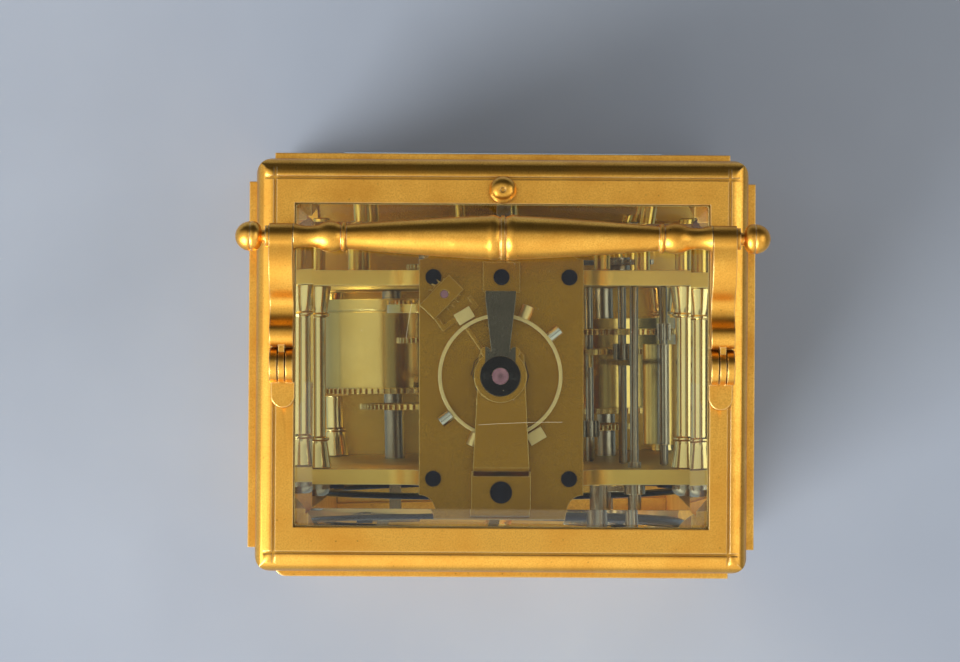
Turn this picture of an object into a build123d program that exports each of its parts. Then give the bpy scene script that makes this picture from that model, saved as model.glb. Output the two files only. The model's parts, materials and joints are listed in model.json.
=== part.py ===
from build123d import *
from math import atan2, cos, degrees, dist, hypot, pi, radians, sin
import os

os.makedirs("parts", exist_ok=True)

# Carriage clock with a glazed case, carrying handle, repeat button and platform escapement.
# Millimetres. +Z is up, the dial faces -Y, the door is at +Y and the part stands on z = 0.
# The origin is under the middle of the base.

# --- Case ---------------------------------------------------------------------------------
base_step = 3.85  # base edge past the pillars, front and back
base_side_step = 3.4  # base edge past the pillars, left and right
base_height = 15.0
plinth_height = 4.5
base_corner_radius = 3.0
base_wall = 6.2
body_width = 91.2  # over the flat faces of the pillars
notch_width = 4.6  # re-entrant corners of the pillars
notch_depth = 5.2
pillar_width = 11.0
pillar_depth = 12.0
tier_height = 5.4  # the cornice, level with the door's top
frame_height = 5.4
frame_setback = 1.15  # top frame edge inside the pillars, front and back
frame_side_setback = 1.5  # the same, left and right
frame_corner_radius = 3.0
moulding_width = 3.2  # convex edge of the top frame
groove_width = 0.5
groove_depth = 0.5
frame_border = 8.0  # front and back bands of the top frame
frame_side_border = 6.95
head_room = 5.0  # balance cock to the underside of the top frame
glass_bevel = 3.3
glass_bevel_drop = 0.7
top_glass_thickness = 4.4
top_glass_lip = 0.8  # how far the frame covers the top glass
pane_thickness = 3.6
pane_proud = 0.7  # pane faces stand out past the pillars
pane_edge = 1.6  # thickness left at the edge of a bevelled pane
pane_bevel = 7.0
pane_tongue = 1.5  # how far a pane enters the grooves round it
seat_gap = 0.08  # between seated pieces of the case
base_plate_thickness = 3.0
base_plate_lip = 1.5
base_screw_radius = 1.2
base_screw_head_radius = 3.0
base_screw_head_height = 1.6

# --- Door ---------------------------------------------------------------------------------
door_thickness = 4.9
door_gap = 0.35  # running gap round the door
door_stile = 7.5
door_pin_radius = 0.8
door_pin_length = 1.8
knob_radius = 1.75
knob_flange_radius = 1.4
knob_neck = 0.55  # door face to the ball
knob_neck_radius = 0.9
knob_peg_radius = 0.8
knob_peg_length = 2.0

# --- Handle -------------------------------------------------------------------------------
post_peg_radius = 0.9
post_peg_gap = 0.15  # between a post's peg and the edge of the top glass
arm_width = 4.2
arm_thickness = 2.4
handle_reach = 22.7  # pivot to grip axis, along the folded handle
pivot_height = 5.2  # pivot axis over the band
grip_height = 9.3  # grip axis over the band, handle folded forward
knuckle_radius = 3.1
ear_thickness = 1.35
post_length = 15.2
post_thickness = 1.8
handle_pin_radius = 0.8
grip_radius = 3.95  # middle of the grip
grip_end_radius = 2.15
grip_taper_length = 27.5
grip_bulb_radius = 2.7
grip_waist_radius = 1.85
grip_flare_radius = 2.4
finial_radius = 2.6
grip_tenon_radius = 1.1

# --- Repeat button ------------------------------------------------------------------------
button_setback = 5.7  # from the front edge of the top frame
button_radius = 2.4
button_stem_radius = 1.1
button_travel = 2.4

# --- Movement frame -----------------------------------------------------------------------
plate_thickness = 2.8
plate_gap = 33.95  # between the plates
motion_room = 8.7  # from the front pillars back to the front plate
gong_room = 4.05  # from the back plate to the rear pillars
movement_side_room = 6.6  # plate edge to the face of the case
plate_sink = 2.6  # the plates' feet stand below the top of the base
centre_rise = 55.0  # centre arbor over the base
shoulder_rise = 43.0  # the plates' shoulders over the centre arbor
seat_curve = 6.0  # concave curves up to the platform seat
platform_width = 30.0
platform_front_reach = 4.85  # past the front plate
platform_back_reach = 4.6  # past the back plate
platform_thickness = 2.5
platform_rise = 8.5  # top of the platform over the shoulders
platform_corner_cut = 3.0
movement_pillar_radius = 1.85
movement_pillar_foot_radius = 2.9
movement_pillar_inset = 4.5
movement_pillar_low = 5.0  # over the base
movement_pillar_high = 7.0  # under the shoulders
nut_radius = 2.6
plate_screw_inset = 7.2  # blued screws on the back plate
plate_screw_drop = 15.0
plate_screw_radius = 2.4

# --- Fits ---------------------------------------------------------------------------------
pivot_clearance = 0.04
running_clearance = 0.06
end_shake = 0.15
side_gap = 0.3  # between pieces that move past each other

# --- Trains: arbor places are (x, z) as seen from the front --------------------------------
centre_height = base_height + centre_rise


def from_centre(x, rise):
    """An arbor's place, from the centre arbor."""
    return (x, centre_height + rise)


barrel_place = from_centre(21.5, -28.0)
second_place = from_centre(12.5, -11.5)
centre_place = from_centre(0.0, 0.0)
third_place = from_centre(6.5, 15.4)
contrate_place = from_centre(10.4, 29.5)
strike_barrel_place = from_centre(-21.5, -28.0)
strike_second_place = from_centre(-12.5, -11.5)
pin_wheel_place = from_centre(-17.5, 2.4)
gathering_place = from_centre(-23.5, 14.6)
fly_place = from_centre(-31.0, 23.0)
hammer_place = from_centre(-25.0, 33.0)
minute_place = from_centre(9.2, -6.5)
rack_place = from_centre(-24.0, -13.0)
gong_place = from_centre(0.0, -8.0)

barrel_teeth, second_leaves = 84, 12
second_teeth, centre_leaves = 72, 10
centre_teeth, third_leaves = 64, 8
third_teeth, contrate_leaves = 60, 8
contrate_teeth, escape_leaves = 56, 7
pin_wheel_teeth, pin_wheel_leaves = 60, 10
gathering_teeth, gathering_leaves = 56, 8
fly_leaves = 7
cannon_teeth, minute_teeth = 14, 42
minute_leaves, hour_teeth = 12, 48

wheel_thickness = 1.1
pinion_length = 3.2
arbor_radius = 0.8
pivot_radius = 0.5
centre_radius = 1.25  # centre arbor through the plates
winding_radius = 2.0  # winding arbor through the plates
square_size = 2.4
tooth_share = 0.40  # of the pitch, on a wheel
leaf_share = 0.30  # of the pitch, on a pinion
tooth_height = 1.0  # modules past the pitch line, on a wheel
leaf_height = 0.45  # modules past the pitch line, on a pinion
tooth_depth = 1.0  # modules inside the pitch line, on a wheel
leaf_depth = 1.55  # modules inside the pitch line, on a pinion

# Wheel layers: from the back of the front plate to each wheel's front face
contrate_layer = 5.05
third_layer = 9.65
centre_layer = 16.65
second_layer = 22.65
barrel_front_layer = 1.85
strike_drum_layer = 6.25
barrel_teeth_layer = 19.65
strike_second_layer = 27.05
strike_teeth_layer = 24.05
pin_wheel_layer = 12.05
gathering_layer = 8.15
hammer_tail_back = 1.9  # behind the pin wheel's front face
drum_radius = 14.6

# --- Dial side ----------------------------------------------------------------------------
mask_forward = 13.95  # front face of the dial mask, from the front plate
mask_thickness = 0.8
mask_side_gap = 0.6  # mask edge to the pillars
mask_bottom_gap = 0.6  # over the base
mask_top_gap = 3.2  # under the cornice
mask_slot = 6.0  # lets the repeat lever and the button's stem through
dial_radius = 28.0
dial_thickness = 1.0
motion_forward = 4.05  # front face of the motion wheels' first layer
hand_thickness = 0.5
post_radius = 1.5
stud_radius = 0.9
minute_hand_length = 25.0
hour_hand_length = 17.0
minute_hand_turn = 48.0  # degrees past twelve at rest
hour_hand_turn = -56.0

# --- Platform -----------------------------------------------------------------------------
balance_x = 0.2
balance_back = 16.55  # from the back of the front plate
balance_radius = 11.3
balance_rim = 0.65
balance_height = 1.0
balance_rise = 2.5  # underside of the rim over the platform
staff_radius = 0.35
cock_rise = 6.1  # over the platform
cock_thickness = 1.7
cock_width_inner = 8.2
cock_width_outer = 10.2
cock_foot_depth = 7.4
cap_radius = 3.6
cap_thickness = 0.8
escape_back = 1.75  # from the back of the front plate
escape_radius = 3.0
escape_wheel_teeth = 15
screw_radius = 1.45
screw_head = 0.8
cock_screw_radius = 2.0

# --- Gong, hammer -------------------------------------------------------------------------
gong_inner = 33.2
gong_pitch = 2.6
gong_wire = 0.55
gong_back = 2.9  # from the back plate to the gong's middle plane
hammer_head_radius = 2.0

# --- Derived ------------------------------------------------------------------------------
# The movement and the two rows of pillars fill the depth of the body.
movement_depth = plate_gap + 2 * plate_thickness
body_depth = 2 * pillar_depth + motion_room + movement_depth + gong_room
base_depth = body_depth + 2 * base_step
base_width = body_width + 2 * base_side_step
frame_depth = body_depth - 2 * frame_setback
frame_width = body_width - 2 * frame_side_setback
window_depth = frame_depth - 2 * frame_border
window_width = frame_width - 2 * frame_side_border
button_y = button_setback - frame_depth / 2
front_plate_y = pillar_depth + motion_room - body_depth / 2  # front faces of the plates
front_plate_back = front_plate_y + plate_thickness
back_plate_y = front_plate_back + plate_gap
back_plate_back = back_plate_y + plate_thickness
platform_depth = movement_depth + platform_front_reach + platform_back_reach
platform_y = front_plate_y - platform_front_reach + platform_depth / 2
mask_y = front_plate_y - mask_forward
motion_y = front_plate_y - motion_forward
gong_y = back_plate_back + gong_back
balance_y = front_plate_back + balance_back
escape_x, escape_y = contrate_place[0], front_plate_back + escape_back
contrate_web_y = front_plate_back + contrate_layer
third_y = front_plate_back + third_layer
centre_y = front_plate_back + centre_layer
second_y = front_plate_back + second_layer
barrel_front_y = front_plate_back + barrel_front_layer
strike_drum_y = front_plate_back + strike_drum_layer
barrel_teeth_y = front_plate_back + barrel_teeth_layer
strike_second_y = front_plate_back + strike_second_layer
strike_teeth_y = front_plate_back + strike_teeth_layer
pin_wheel_y = front_plate_back + pin_wheel_layer
gathering_y = front_plate_back + gathering_layer
hammer_tail_y = pin_wheel_y + hammer_tail_back
# Heights build up from the base through the movement to the band of the top frame.
plate_bottom = base_height - plate_sink
plate_shoulder = centre_height + shoulder_rise
platform_top = plate_shoulder + platform_rise
platform_seat = platform_top - platform_thickness
balance_z = platform_top + balance_rise
cock_top = platform_top + cock_rise
frame_bottom = cock_top + head_room
case_height = frame_bottom + frame_height
tier_bottom = frame_bottom - tier_height
half_body_x, half_body_y = body_width / 2, body_depth / 2
plate_half_width = half_body_x - movement_side_room
movement_pillar_x = plate_half_width - movement_pillar_inset
movement_pillar_levels = (base_height + movement_pillar_low, plate_shoulder - movement_pillar_high)
plate_screw_x = plate_half_width - plate_screw_inset
plate_screw_z = plate_shoulder - plate_screw_drop
mask_half_width = half_body_x - pillar_width - mask_side_gap
mask_bottom = base_height + mask_bottom_gap
mask_top = tier_bottom - mask_top_gap
rear_face = half_body_y - notch_depth  # the rear pillars stop where the door begins
pane_half_x = half_body_x - pillar_width + pane_tongue
pane_half_y = half_body_y - pillar_depth + pane_tongue
pane_bottom = base_height - pane_tongue
pane_top = tier_bottom + pane_tongue
pivot_z = case_height + pivot_height
grip_z = case_height + grip_height
door_outer = half_body_y
door_inner = door_outer - door_thickness
door_half = half_body_x - notch_width
door_bottom = base_height + door_gap
door_top = frame_bottom - door_gap
door_axis = (door_half - door_thickness / 2, door_outer - door_thickness / 2)
glass_half_x = window_width / 2 + top_glass_lip
handle_half_span = glass_half_x + post_peg_gap + post_peg_radius  # middle to middle of an arm
glass_half_y = window_depth / 2 + top_glass_lip
glass_bottom = frame_bottom + seat_gap
glass_top = glass_bottom + top_glass_thickness
base_top_plate = plate_bottom - seat_gap


# --- Shape helpers ------------------------------------------------------------------------
def block(x0, x1, y0, y1, z0, z1):
    """A box between two corners."""
    return Pos(x0, y0, z0) * Box(x1 - x0, y1 - y0, z1 - z0, align=(Align.MIN,) * 3)


def turn_to(axis):
    """The turn that takes +Z to an axis."""
    return {"x": Rot(Y=90), "y": Rot(X=-90), "z": Rot()}[axis]


def rod(place, radius, length, axis="z"):
    """A round bar from a place along +X, +Y or +Z."""
    bar = Cylinder(radius, length, align=(Align.CENTER, Align.CENTER, Align.MIN))
    return Pos(*place) * turn_to(axis) * bar


def section(start, *steps, plane=Plane.XZ):
    """A face in a plane: a pair is a straight run to it, two pairs an arc through the first."""
    here = start
    edges = []
    for step in steps + (start,):
        points = step if isinstance(step[0], tuple) else (step,)
        if dist(here, points[-1]) < 1e-6:
            continue
        placed = [plane.from_local_coords((p[0], p[1], 0)) for p in (here,) + points]
        edges.append(Line(*placed) if len(placed) == 2 else ThreePointArc(*placed))
        here = points[-1]
    return make_face(Wire(edges))


def turned(place, axis, start, *steps):
    """A lathe piece: its section's pairs are (radius, distance along the axis)."""
    return Pos(*place) * turn_to(axis) * revolve(section(start, *steps), Axis.Z)


def ball(start, low, radius):
    """The arc of a ball end, from a start radius to the axis, for a turned piece."""
    middle = low + (radius**2 - start**2) ** 0.5
    if start == radius:
        return [((radius * cos(pi / 4), middle + radius * sin(pi / 4)), (0, middle + radius))]
    return [((radius, middle), (0, middle + radius))]


def stepped(place, axis, *stages):
    """A turned bar of (radius, length) stages, one after another."""
    points = [(0, 0)]
    along = 0
    for radius, length in stages:
        points += [(radius, along), (radius, along + length)]
        along += length
    points.append((0, along))
    return turned(place, axis, *points)


def mirrored(part, *planes):
    """The part with its mirror images, as separate solids."""
    group = [part]
    for plane in planes:
        group += [mirror(piece, plane) for piece in group]
    return group


def front_view(part, x, z, y):
    """Stands a part drawn flat upright: its +X stays, its +Y goes up and its +Z faces the front."""
    return Pos(x, y, z) * Rot(X=90) * part


def save(name, *pieces):
    """Writes one node. Several solids are kept apart."""
    flat = []
    for piece in pieces:
        flat += piece if isinstance(piece, list) else [piece]
    shape = flat[0] if len(flat) == 1 else Compound(children=[p for p in flat])
    export_step(shape, f"parts/{name}.step")


def mitred(half_x, half_y, corner, start, *steps):
    """A moulded block: the same edge profile, (inset, height) pairs, runs round all four sides."""
    parts = []
    for half, other, turn in ((half_x, half_y, Rot()), (half_y, half_x, Rot(Z=90))):
        shifted = [
            tuple((half - p[0], p[1]) for p in step)
            if isinstance(step[0], tuple)
            else (half - step[0], step[1])
            for step in steps
        ]
        first = (half - start[0], start[1])
        last = shifted[-1] if not isinstance(shifted[-1][0], tuple) else shifted[-1][1]
        side = section((0, start[1]), first, *shifted, (0, last[1]))
        whole = side + mirror(side, Plane.YZ)
        parts.append(turn * extrude(whole, other + 1, both=True))
    moulded = parts[0] & parts[1]
    return moulded & extrude(RectangleRounded(2 * half_x, 2 * half_y, corner), case_height)


hollow_x = half_body_x - base_wall
hollow_y = half_body_y - base_wall - notch_depth / 2
base_screw_spots = [(x, y) for x in (-1, 1) for y in (-1, 1)]
pillar_screw_x = half_body_x - pillar_width + 4.5
pillar_screw_y = rear_face - 1.9
foot_screw_x = movement_pillar_x
foot_screw_y = (front_plate_back + back_plate_y) / 2


def base_moulding():
    """A plinth, a quarter round, a step and a hollow gorge, round an open middle."""
    inset_x = (base_width - body_width) / 2
    round_top = plinth_height + 2.6
    step_top = round_top + 0.8
    gorge_top = base_height - 1.6
    body = mitred(
        base_width / 2,
        base_depth / 2,
        base_corner_radius,
        (0, 0),
        (0, plinth_height),
        ((0.35, plinth_height + 1.5), (1.5, round_top)),
        (1.5, step_top),
        ((inset_x - 0.5, step_top + 2.6), (inset_x, gorge_top)),
        (inset_x, base_height),
    )
    body -= block(-hollow_x, hollow_x, -hollow_y, hollow_y, -1, base_height + 1)
    rebate_x, rebate_y = hollow_x + base_plate_lip, hollow_y + base_plate_lip
    body -= block(-rebate_x, rebate_x, -rebate_y, rebate_y, -1, base_top_plate)
    for x, y in base_screw_spots:
        place = (x * pillar_screw_x, y * pillar_screw_y, 0)
        body -= rod(place, base_screw_head_radius + seat_gap, screw_head_depth)
        body -= rod(place, base_screw_radius + seat_gap, base_height + 1)
    for pin in door_pins(pivot_clearance):
        body -= pin
    for groove in pane_room():
        body -= groove
    return body


def base_plate():
    """The floor of the case, let into the moulding from below."""
    x, y = hollow_x + base_plate_lip - seat_gap, hollow_y + base_plate_lip - seat_gap
    plate = block(-x, x, -y, y, base_top_plate - base_plate_thickness, base_top_plate)
    for x, y in base_screw_spots:
        place = (x * pillar_screw_x, y * pillar_screw_y, 0)
        plate -= rod(place, base_screw_head_radius + 4 * seat_gap, base_height)
    for x in (-1, 1):
        plate -= rod((x * foot_screw_x, foot_screw_y, 0), base_screw_radius + seat_gap, base_height)
    return plate


screw_head_depth = 4.0


def base_screws():
    """Four screws up into the pillars and two up into the lower movement pillars."""
    screws = []
    for x, y in base_screw_spots:
        place = (x * pillar_screw_x, y * pillar_screw_y, screw_head_depth - base_screw_head_height)
        shank = base_height - screw_head_depth + 8
        screws.append(slotted(place, base_screw_head_radius, base_screw_head_height, shank))
    for x in (-1, 1):
        floor = base_top_plate - base_plate_thickness
        place = (x * foot_screw_x, foot_screw_y, floor - base_screw_head_height)
        shank = base_plate_thickness + 5
        screws.append(slotted(place, base_screw_head_radius, base_screw_head_height, shank))
    return screws


def slotted(place, head_radius, head_height, shank):
    """A screw standing on its head, head down, with a slot in the head."""
    screw = stepped(place, "z", (head_radius, head_height), (base_screw_radius, shank))
    x, y, z = place
    return screw - block(x - 0.3, x + 0.3, y - head_radius, y + head_radius, z, z + 0.5)


def pane_room():
    """The grooves that hold the three fixed panes, cut from base, pillars and cornice."""
    edge = pane_edge / 2 + seat_gap
    middle_y = half_body_y + pane_proud - pane_thickness + pane_edge / 2
    middle_x = half_body_x + pane_proud - pane_thickness + pane_edge / 2
    reach_x, reach_y = pane_half_x + seat_gap, pane_half_y + seat_gap
    low, high = pane_bottom - seat_gap, pane_top + seat_gap
    front = block(-reach_x, reach_x, -middle_y - edge, -middle_y + edge, low, high)
    sides = [
        block(middle_x - edge, middle_x + edge, -reach_y, reach_y, low, high),
        block(-middle_x - edge, -middle_x + edge, -reach_y, reach_y, low, high),
    ]
    return [front] + sides


def pane(half_width, bottom, top):
    """A thick pane with bevelled edges, lying with its inner face on z = 0."""
    middle = (bottom + top) / 2
    half_height = (top - bottom) / 2
    return Pos(0, middle, 0) * mitred(
        half_width,
        half_height,
        0.2,
        (0, 0),
        (0, pane_edge),
        (pane_tongue + 2 * seat_gap, pane_edge),
        (pane_bevel, pane_thickness),
    )


def front_glass():
    glass = pane(pane_half_x, pane_bottom, pane_top)
    return front_view(glass, 0, 0, -half_body_y - pane_proud + pane_thickness)


def side_glasses():
    glass = front_view(pane(pane_half_y, pane_bottom, pane_top), 0, 0, 0)
    out = half_body_x + pane_proud - pane_thickness
    return [Pos(x * out, 0, 0) * Rot(Z=90 * x) * glass for x in (1, -1)]


def case_pillars():
    """Four pillars with a re-entrant corner; the rear two end where the door closes."""
    front = block(
        half_body_x - pillar_width,
        half_body_x,
        -half_body_y,
        -half_body_y + pillar_depth,
        base_height,
        tier_bottom,
    )
    front -= block(
        half_body_x - notch_width,
        half_body_x + 1,
        -half_body_y - 1,
        -half_body_y + notch_depth,
        base_height,
        tier_bottom,
    )
    rear = block(
        half_body_x - pillar_width,
        half_body_x,
        half_body_y - pillar_depth,
        rear_face,
        base_height,
        tier_bottom,
    )
    rooms = pane_room()
    pillars = []
    for pillar, y in ((front, -1), (rear, 1)):
        spot = (pillar_screw_x, y * pillar_screw_y, base_height)
        pillar -= rod(spot, base_screw_radius + seat_gap, 9)
        for room in rooms:
            pillar -= room
        pillars += mirrored(pillar, Plane.YZ)
    return pillars


def cornice_frame():
    """The tier under the top frame, notched like the pillars and cut back for the door."""
    tier = block(-half_body_x, half_body_x, -half_body_y, rear_face, tier_bottom, frame_bottom)
    for x in (-1, 1):
        edge = x * (half_body_x - notch_width / 2)
        tier -= block(
            edge - notch_width / 2,
            edge + notch_width / 2,
            -half_body_y - 1,
            -half_body_y + notch_depth,
            tier_bottom,
            frame_bottom,
        )
    hole_x, hole_y = glass_half_x - 1.2, glass_half_y - 1.2
    tier -= block(-hole_x, hole_x, -hole_y, hole_y, tier_bottom, frame_bottom)
    for room in pane_room():
        tier -= room
    tier -= button_room()
    return tier


def button_room():
    """Clearance for the button's stem through the cornice and the top frame."""
    length = case_height - tier_bottom + 2
    return rod((0, button_y, tier_bottom - 1), button_stem_radius + running_clearance, length)


def top_frame():
    """The moulded frame round the top glass: round edge, groove, then a flat band."""
    half_x, half_y = frame_width / 2, frame_depth / 2
    step = 1.8
    inner = moulding_width
    body = mitred(
        half_x,
        half_y,
        frame_corner_radius,
        (0, frame_bottom),
        (0, frame_bottom + step),
        ((0.95, case_height - 0.95), (inner, case_height)),
        (inner, case_height - groove_depth),
        (inner + groove_width, case_height - groove_depth),
        (inner + groove_width, case_height),
    )
    body -= block(*window_span(0), frame_bottom - 1, case_height + 1)
    body -= block(*window_span(top_glass_lip + seat_gap), frame_bottom - 1, glass_edge_top)
    body -= button_room()
    body -= rod((0, button_y, case_height - 1.2), button_radius * 0.8, 5)
    for pin in door_pins(pivot_clearance):
        body -= pin
    for x, y in post_pins:
        body -= rod((x, y, case_height - post_peg), post_peg_radius + seat_gap, 5)
    return body


def window_span(more):
    x, y = window_width / 2 + more, window_depth / 2 + more
    return -x, x, -y, y


glass_edge = top_glass_thickness - glass_bevel_drop  # under the frame's lip
glass_edge_top = glass_bottom + glass_edge + seat_gap
post_peg = 2.5
post_pins = [(x * handle_half_span, y * (post_length / 2 - 2.2)) for x in (-1, 1) for y in (-1, 1)]


def top_glass():
    """A thick plate, bevelled all round inside the window, with a thin edge under the frame."""
    lip = top_glass_lip
    return mitred(
        glass_half_x,
        glass_half_y,
        0.5,
        (0, glass_bottom),
        (0, glass_bottom + glass_edge),
        (lip + seat_gap, glass_bottom + glass_edge),
        (lip + seat_gap + glass_bevel, glass_top),
    )


# --- Door: hinged on two pins at its +X edge ------------------------------------------------
def door_pins(clearance):
    """The sockets that the door's pins turn in, or the pins themselves at no clearance."""
    x, y = door_axis
    radius = door_pin_radius + clearance
    length = door_pin_length + door_gap + 2 * clearance
    return [
        rod((x, y, door_bottom - length), radius, length),
        rod((x, y, door_top), radius, length),
    ]


def door_frame():
    """Four stiles round a pane, its hinge edge rounded about the pins."""
    x, y = door_axis
    half = door_thickness / 2
    frame = block(-door_half, x, door_inner, door_outer, door_bottom, door_top)
    frame += rod((x, y, door_bottom), half, door_top - door_bottom)
    opening = door_half - door_stile
    low, high = door_bottom + door_stile, door_top - door_stile
    frame -= block(-opening, opening, door_inner - 1, door_outer + 1, low, high)
    frame -= door_pane_room(seat_gap)
    for pin in door_pins(0):
        frame += pin
    return frame


door_pane_half = door_half - door_stile + pane_tongue
door_pane_low = door_bottom + door_stile - pane_tongue
door_pane_high = door_top - door_stile + pane_tongue


def door_pane_room(gap):
    """The groove round the door's opening."""
    middle = door_outer + pane_proud - pane_thickness + pane_edge / 2
    edge = pane_edge / 2 + gap
    low, high = door_pane_low - gap, door_pane_high + gap
    x = door_pane_half + gap
    return block(-x, x, middle - edge, middle + edge, low, high)


def door_glass():
    glass = pane(door_pane_half, door_pane_low, door_pane_high)
    return Rot(Z=180) * front_view(glass, 0, 0, -door_outer - pane_proud + pane_thickness)


def door_knob():
    """A small turned knob on the free stile."""
    x = -door_half + door_stile / 2
    z = (door_bottom + door_top) / 2
    peg, neck = knob_peg_length, knob_neck_radius
    return turned(
        (x, door_outer - peg, z),
        "y",
        (0, 0),
        (knob_peg_radius, 0),
        (knob_peg_radius, peg + seat_gap),
        (knob_flange_radius, peg + seat_gap),
        (knob_flange_radius, peg + knob_neck / 2),
        (neck, peg + knob_neck),
        *ball(neck, peg + knob_neck, knob_radius),
    )


def door_frame_drilled():
    x = -door_half + door_stile / 2
    z = (door_bottom + door_top) / 2
    start = (x, door_outer - knob_peg_length - seat_gap, z)
    return door_frame() - rod(start, knob_peg_radius + seat_gap, door_thickness, "y")


# --- Handle: rests folded forward, turns about +X through its pivots -------------------------
def handle_posts():
    """Two feet on the top frame, each with a rounded plate, two ears and a pivot pin."""
    posts = []
    half = arm_width / 2
    z = case_height + seat_gap
    for side in (-1, 1):
        x = side * handle_half_span
        end = post_length / 2 - half
        foot = block(x - half, x + half, -end, end, z, z + post_thickness)
        for y in (-1, 1):
            foot += rod((x, y * (post_length / 2 - half), z), half, post_thickness)
        for ear in (-1, 1):
            ear_x = x + ear * (half - ear_thickness / 2) - ear_thickness / 2
            foot += rod((ear_x, 0, pivot_z), knuckle_radius, ear_thickness, "x")
            foot += block(
                ear_x, ear_x + ear_thickness, -knuckle_radius, knuckle_radius, z + 0.5, pivot_z
            )
        foot += rod((x - half + 0.4, 0, pivot_z), handle_pin_radius, arm_width - 0.8, "x")
        for px, py in post_pins:
            if px * side > 0:
                foot += rod((px, py, case_height - post_peg + seat_gap), post_peg_radius, post_peg)
        posts.append(foot)
    return posts


tongue_thickness = arm_width - 2 * ear_thickness - 0.4
grip_y = -handle_reach


def handle_arms():
    """Two swan-necked straps: a tongue between the ears, a block, then a bar up to the grip."""
    arms = []
    half = arm_width / 2
    block_start = -knuckle_radius - side_gap
    for side in (-1, 1):
        x = side * handle_half_span
        tongue = rod((x - tongue_thickness / 2, 0, pivot_z), knuckle_radius - 0.1, tongue_thickness, "x")
        tongue += block(
            x - tongue_thickness / 2,
            x + tongue_thickness / 2,
            block_start - 0.5,
            0,
            pivot_z - 1.9,
            pivot_z + 1.9,
        )
        low, high = pivot_z - 2.1, pivot_z + 2.2
        rise = grip_z - pivot_z
        bar = section(
            (block_start, low + 0.2),
            (block_start, high - 0.6),
            ((block_start - 1.8, high + 0.6), (block_start - 4.2, high - 0.4)),
            ((block_start - 6.6, high - 1.2), (block_start - 9.0, high + 0.2)),
            ((grip_y + 7.0, grip_z + 1.2), (grip_y + 1.5, grip_z + half)),
            ((grip_y - half * 0.72, grip_z + half * 0.72), (grip_y - half - 0.2, grip_z)),
            ((grip_y - half * 0.72, grip_z - half * 0.72), (grip_y, grip_z - half)),
            ((grip_y + 5.5, grip_z - half - 0.2 - rise * 0.08), (block_start - 8.4, low + 0.6)),
            ((block_start - 4.0, low - 0.5), (block_start, low + 0.2)),
            plane=Plane.YZ,
        )
        strap = Pos(x, 0, 0) * extrude(bar, half, both=True)
        arm = strap + tongue
        arm -= rod((x - half, 0, pivot_z), handle_pin_radius + pivot_clearance, arm_width, "x")
        arm -= rod((x - half - 1, grip_y, grip_z), grip_tenon_radius + seat_gap / 2, arm_width + 2, "x")
        arms.append(arm)
    return arms


def handle_grip():
    """The turned grip: a middle ring with beads, two tapers, then ring, bulb, neck and flare."""
    inner = handle_half_span - arm_width / 2
    tip = handle_half_span + arm_width / 2
    ring_at = grip_taper_length
    r0, r1 = grip_radius, grip_end_radius
    half = turned(
        (0, grip_y, grip_z),
        "x",
        (0, 0),
        (r0 - 0.05, 0),
        (r0 - 0.05, 0.3),
        (r0 - 0.35, 0.4),
        (r0 - 0.35, 0.55),
        ((r0 + 0.02, 1.4), (r0 - 0.1, 2.6)),
        ((r0 - 0.75, 14.0), (r1, ring_at)),
        ((r1 + 0.5, ring_at + 0.45), (r1, ring_at + 0.9)),
        ((grip_bulb_radius, ring_at + 2.7), (grip_waist_radius + 0.25, ring_at + 4.9)),
        ((grip_waist_radius, ring_at + 6.6), (grip_flare_radius, inner - seat_gap)),
        (grip_tenon_radius, inner - seat_gap),
        (grip_tenon_radius, tip - 0.6),
        (0, tip - 0.6),
    )
    return half + mirror(half, Plane.YZ)


def handle_finials():
    """A ball with a girdle line on a small flange, outside each arm."""
    start = handle_half_span + arm_width / 2 + seat_gap
    r = finial_radius
    finial = turned(
        (start, grip_y, grip_z),
        "x",
        (0, 0),
        (1.9, 0),
        (1.9, 0.6),
        ((1.1, 0.95), (1.25, 1.3)),
        ((r - 0.1, 2.2), (r, 3.1)),
        (r - 0.15, 3.2),
        (r, 3.3),
        *ball(r, 3.3, r),
    )
    return mirrored(finial, Plane.YZ)


# --- Repeat work ----------------------------------------------------------------------------
def repeat_button():
    """A domed button on a stem that reaches down to the repeat lever."""
    dome = case_height + button_travel + 0.3
    stem = rod((0, button_y, lever_top + side_gap), button_stem_radius, dome - lever_top - side_gap)
    head = turned(
        (0, button_y, dome),
        "z",
        (0, 0),
        (button_radius, 0),
        (button_radius, 0.5),
        ((button_radius * 0.75, 1.6), (0.45, 2.0)),
        (0.45, 1.7),
        (0, 1.7),
    )
    return stem + head


lever_top = platform_seat - 1.2
lever_thickness = 1.2
lever_axis = (0.0, plate_shoulder - 2.5)  # x, z of the stud on the front plate
lever_reach = 13.0


def repeat_lever():
    """A bent lever: a hub on its stud, an arm up, and a tab forward under the button."""
    x, z = lever_axis
    y = front_plate_y - 1.2
    half = 1.3
    hub_x = x + lever_reach
    lever = rod((hub_x, y - 1.6, z), 2.2, 1.6, "y")
    lever += block(-half, hub_x, y - 1.6, y - 0.4, z - half, z + half)
    lever += block(-half, half, y - 1.6, y - 0.4, z - half, lever_top)
    lever += block(-half, half, button_y - 1.5, y - 0.4, lever_top - lever_thickness, lever_top)
    return lever - rod((hub_x, y - 3, z), stud_radius + pivot_clearance, 6, "y")


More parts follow.
